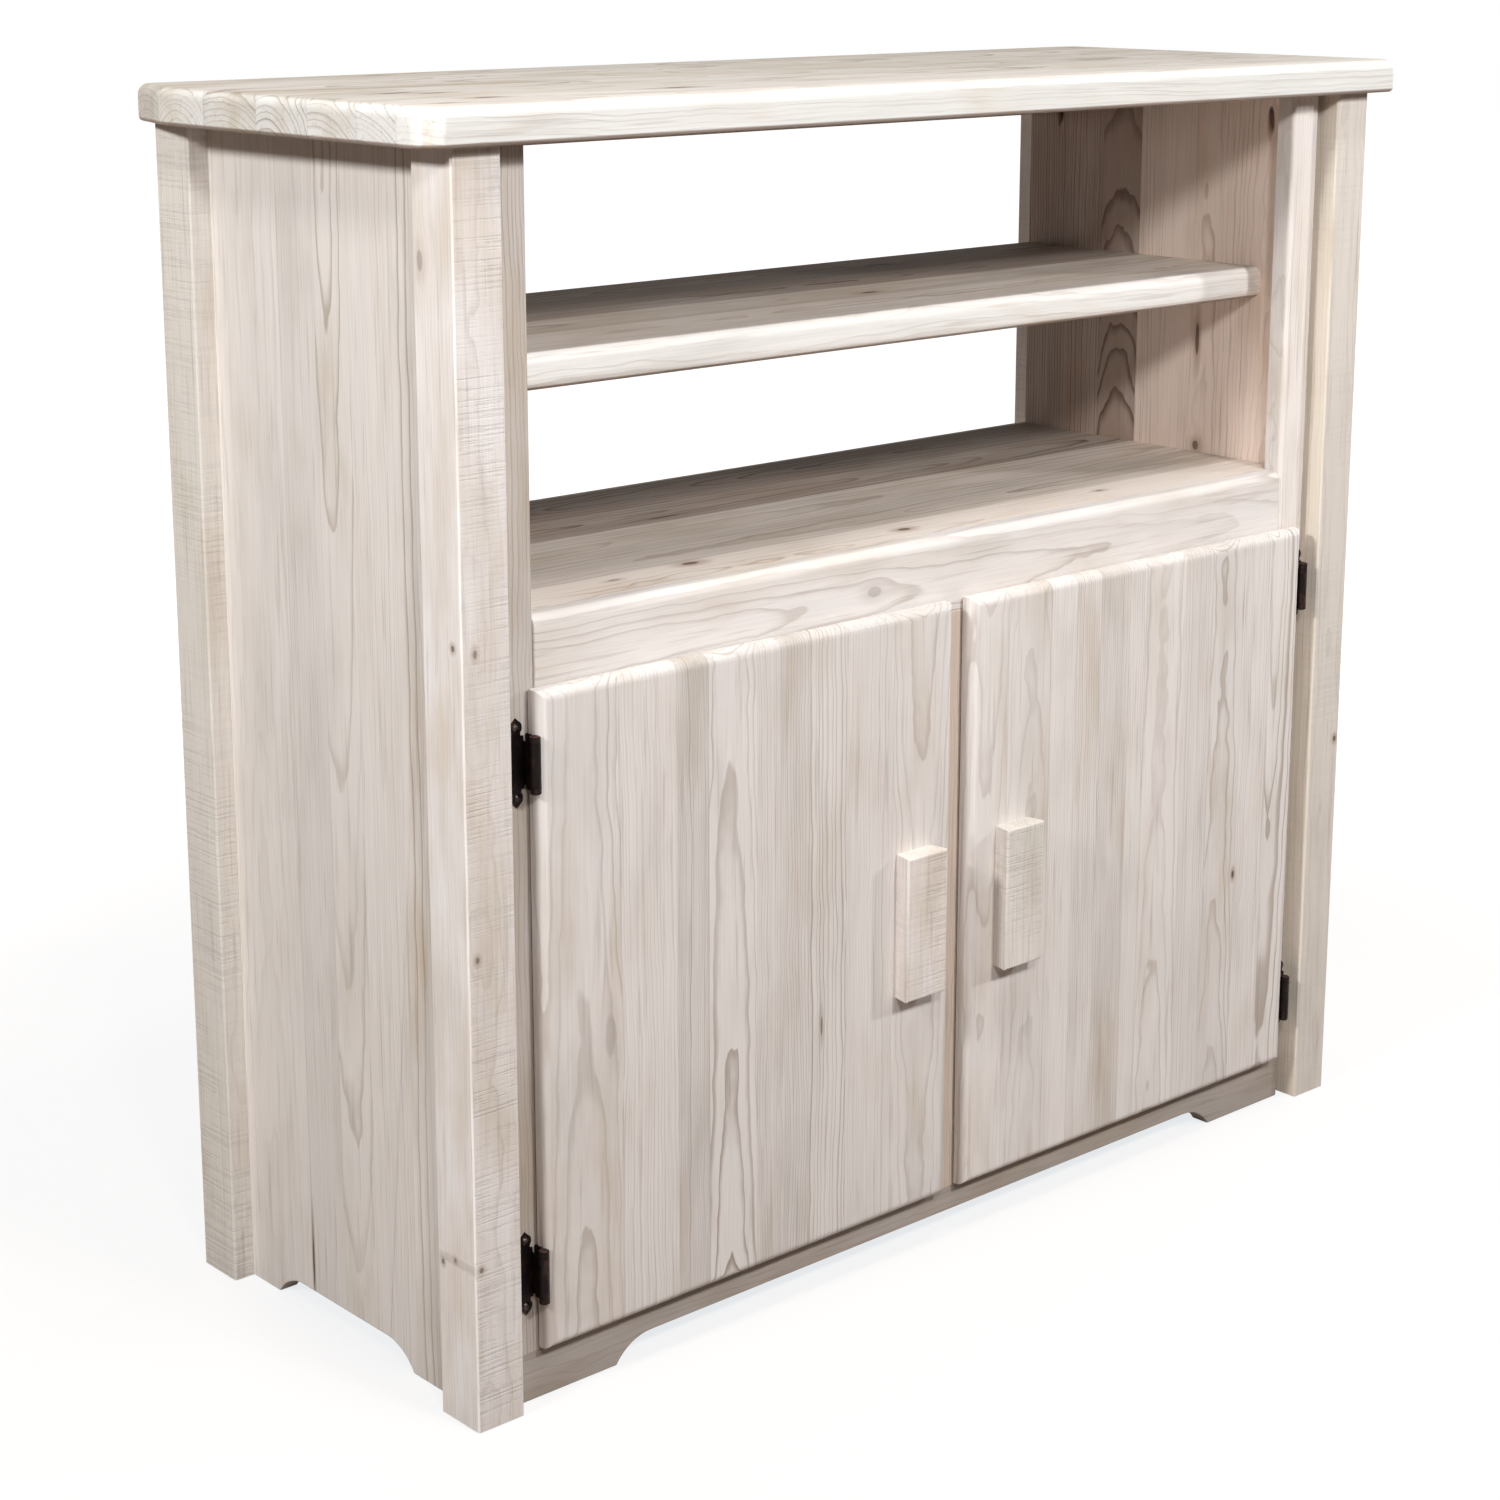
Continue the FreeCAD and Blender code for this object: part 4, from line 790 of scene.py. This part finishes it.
def dress_hardware():
    """The hinges, screws and dowels, told apart by the first ending here that fits a name."""
    heads = bronze("screw_bronze", srgb(44, 36, 34), srgb(96, 84, 78), 0.26)
    finishes = {
        "_pin": bronze("barrel_bronze", srgb(62, 42, 40), srgb(124, 92, 84), 0.36),
        "_leaf": bronze("hinge_bronze", srgb(24, 17, 16), srgb(62, 42, 36), 0.46),
        "_leaf_screws": heads,
        "_screws": steel(),
        "_dowels": dowel_wood(),
    }
    for name in nodes:
        for ending, finish in finishes.items():
            if name.endswith(ending):
                dress(name, finish)
                break


# The studio. Azimuth 0 is in front of the cabinet, and grows towards its right.
Lamp = namedtuple("Lamp", "name azimuth elevation distance size power")
AIM = Vector((0.0, 0.0, 0.5))
LAMPS = [
    Lamp("key", -33, 33, 3.2, 0.4, 28.5),
    Lamp("front", -2, 37, 3.2, 0.4, 43.0),
    Lamp("right_front", 52, 22, 3.2, 0.25, 27.0),
    Lamp("left_side", -80, 29, 3.2, 0.35, 49.0),
    Lamp("overhead", -12, 71, 3.0, 0.35, 20.0),
    Lamp("rear", 180, 3, 3.2, 1.6, 46.0),
    Lamp("right_side", 98, 12, 3.2, 1.6, 24.0),
]
WHITE = (1.0, 1.0, 1.0, 1.0)
AMBIENT = 0.03
AMBIENT_COLOUR = (1.0, 0.8, 0.7, 1.0)

FLOOR_REACH = 14.0
FLOOR_DROP = 0.0005
FLOOR_COLOUR = srgb(118, 104, 94)
FLOOR_NEAR = (0.77, 0.80, 0.82, 1.0)
NEAR_UNTIL, WHITE_FROM = 0.9, 2.2

CAMERA_PLACE = (-1.77226, -1.90815, 1.15952)
CAMERA_TURN = -41.65
CAMERA_DOWN = 12.99
CAMERA_LENS = 70.27
CAMERA_SHIFT = -0.10

EDGE_WIDTH = 0.0011
EDGE_ANGLE = 35
WELD_REACH = 0.00001


def direction(azimuth, elevation):
    turn, lift = math.radians(azimuth), math.radians(elevation)
    return Vector((math.sin(turn) * math.cos(lift), -math.cos(turn) * math.cos(lift), math.sin(lift)))


def add_lamps():
    for lamp in LAMPS:
        data = bpy.data.lights.new(lamp.name, "AREA")
        data.shape = "DISK"
        data.size = lamp.size
        data.energy = lamp.power
        made = bpy.data.objects.new(lamp.name, data)
        back = direction(lamp.azimuth, lamp.elevation)
        made.location = AIM + back * lamp.distance
        made.rotation_mode = "QUATERNION"
        made.rotation_quaternion = (-back).to_track_quat("-Z", "Y")
        made.visible_camera = False
        bpy.context.scene.collection.objects.link(made)


def seen_directly(graph):
    """One where a ray comes from the camera or from a mirror or glass, and zero for other light."""
    path = graph.node("ShaderNodeLightPath")
    camera, glossy, through = (Wire(graph, path.outputs[f"Is {kind} Ray"])
                               for kind in ("Camera", "Glossy", "Transmission"))
    return graph.math("MAXIMUM", graph.math("MAXIMUM", camera, glossy), through)


def add_world():
    """A white background that lights the cabinet only a little."""
    world = bpy.data.worlds.new("studio")
    bpy.context.scene.world = world
    world.use_nodes = True
    world.node_tree.nodes.clear()
    graph = Graph(world.node_tree)
    background = graph.node("ShaderNodeBackground")
    output = graph.node("ShaderNodeOutputWorld")
    world.node_tree.links.new(background.outputs[0], output.inputs["Surface"])
    seen = seen_directly(graph)
    graph.plug(background.inputs["Color"], graph.blend(seen, AMBIENT_COLOUR, WHITE))
    graph.plug(background.inputs["Strength"], graph.ease(seen, 0.0, 1.0, AMBIENT, 1.0))


def add_floor():
    """A pale floor that turns white away from the cabinet's shadow."""
    side = FLOOR_REACH
    corners = [(-side, -side, 0), (side, -side, 0), (side, side, 0), (-side, side, 0)]
    mesh = bpy.data.meshes.new("floor")
    mesh.from_pydata(corners, [], [(0, 1, 2, 3)])
    floor = bpy.data.objects.new("floor", mesh)
    floor.location.z = -FLOOR_DROP
    bpy.context.scene.collection.objects.link(floor)
    material, graph, shader = new_material("pale_floor")
    shader.inputs["Base Color"].default_value = FLOOR_COLOUR
    shader.inputs["Roughness"].default_value = 0.9
    distance = graph.vector("LENGTH", object_place(graph))
    far = graph.ease(distance, NEAR_UNTIL, WHITE_FROM)
    graph.plug(shader.inputs["Emission Color"], graph.blend(far, FLOOR_NEAR, WHITE))
    graph.plug(shader.inputs["Emission Strength"], seen_directly(graph))
    mesh.materials.append(material)


def add_camera():
    """The photograph's place and angle. Part of its upright correction is kept as lens shift."""
    data = bpy.data.cameras.new("camera")
    camera = bpy.data.objects.new("camera", data)
    bpy.context.scene.collection.objects.link(camera)
    camera.location = CAMERA_PLACE
    camera.rotation_euler = (math.radians(90 - CAMERA_DOWN), 0.0, math.radians(CAMERA_TURN))
    data.sensor_width = 36.0
    data.lens = CAMERA_LENS
    data.shift_y = CAMERA_SHIFT
    data.dof.use_dof = False
    bpy.context.scene.camera = camera


def soften_edges():
    """Breaks the sharp edges of the sanded boards. Their faces stay where they are."""
    for name, piece in nodes.items():
        is_pine = piece.active_material.name.startswith("pine_")
        if not is_pine or name.endswith("_post") or name in BACK_BOARDS:
            continue
        weld = piece.modifiers.new("weld", "WELD")
        weld.merge_threshold = WELD_REACH
        bevel = piece.modifiers.new("sanded", "BEVEL")
        bevel.width = EDGE_WIDTH
        bevel.segments = 2
        bevel.limit_method = "ANGLE"
        bevel.angle_limit = math.radians(EDGE_ANGLE)


dress_upright_boards()
dress_back()
dress_flat_boards()
dress_frame()
dress_sawn_pieces()
dress_hardware()
soften_edges()
add_lamps()
add_world()
add_floor()
add_camera()
bpy.context.scene.view_settings.view_transform = "Standard"
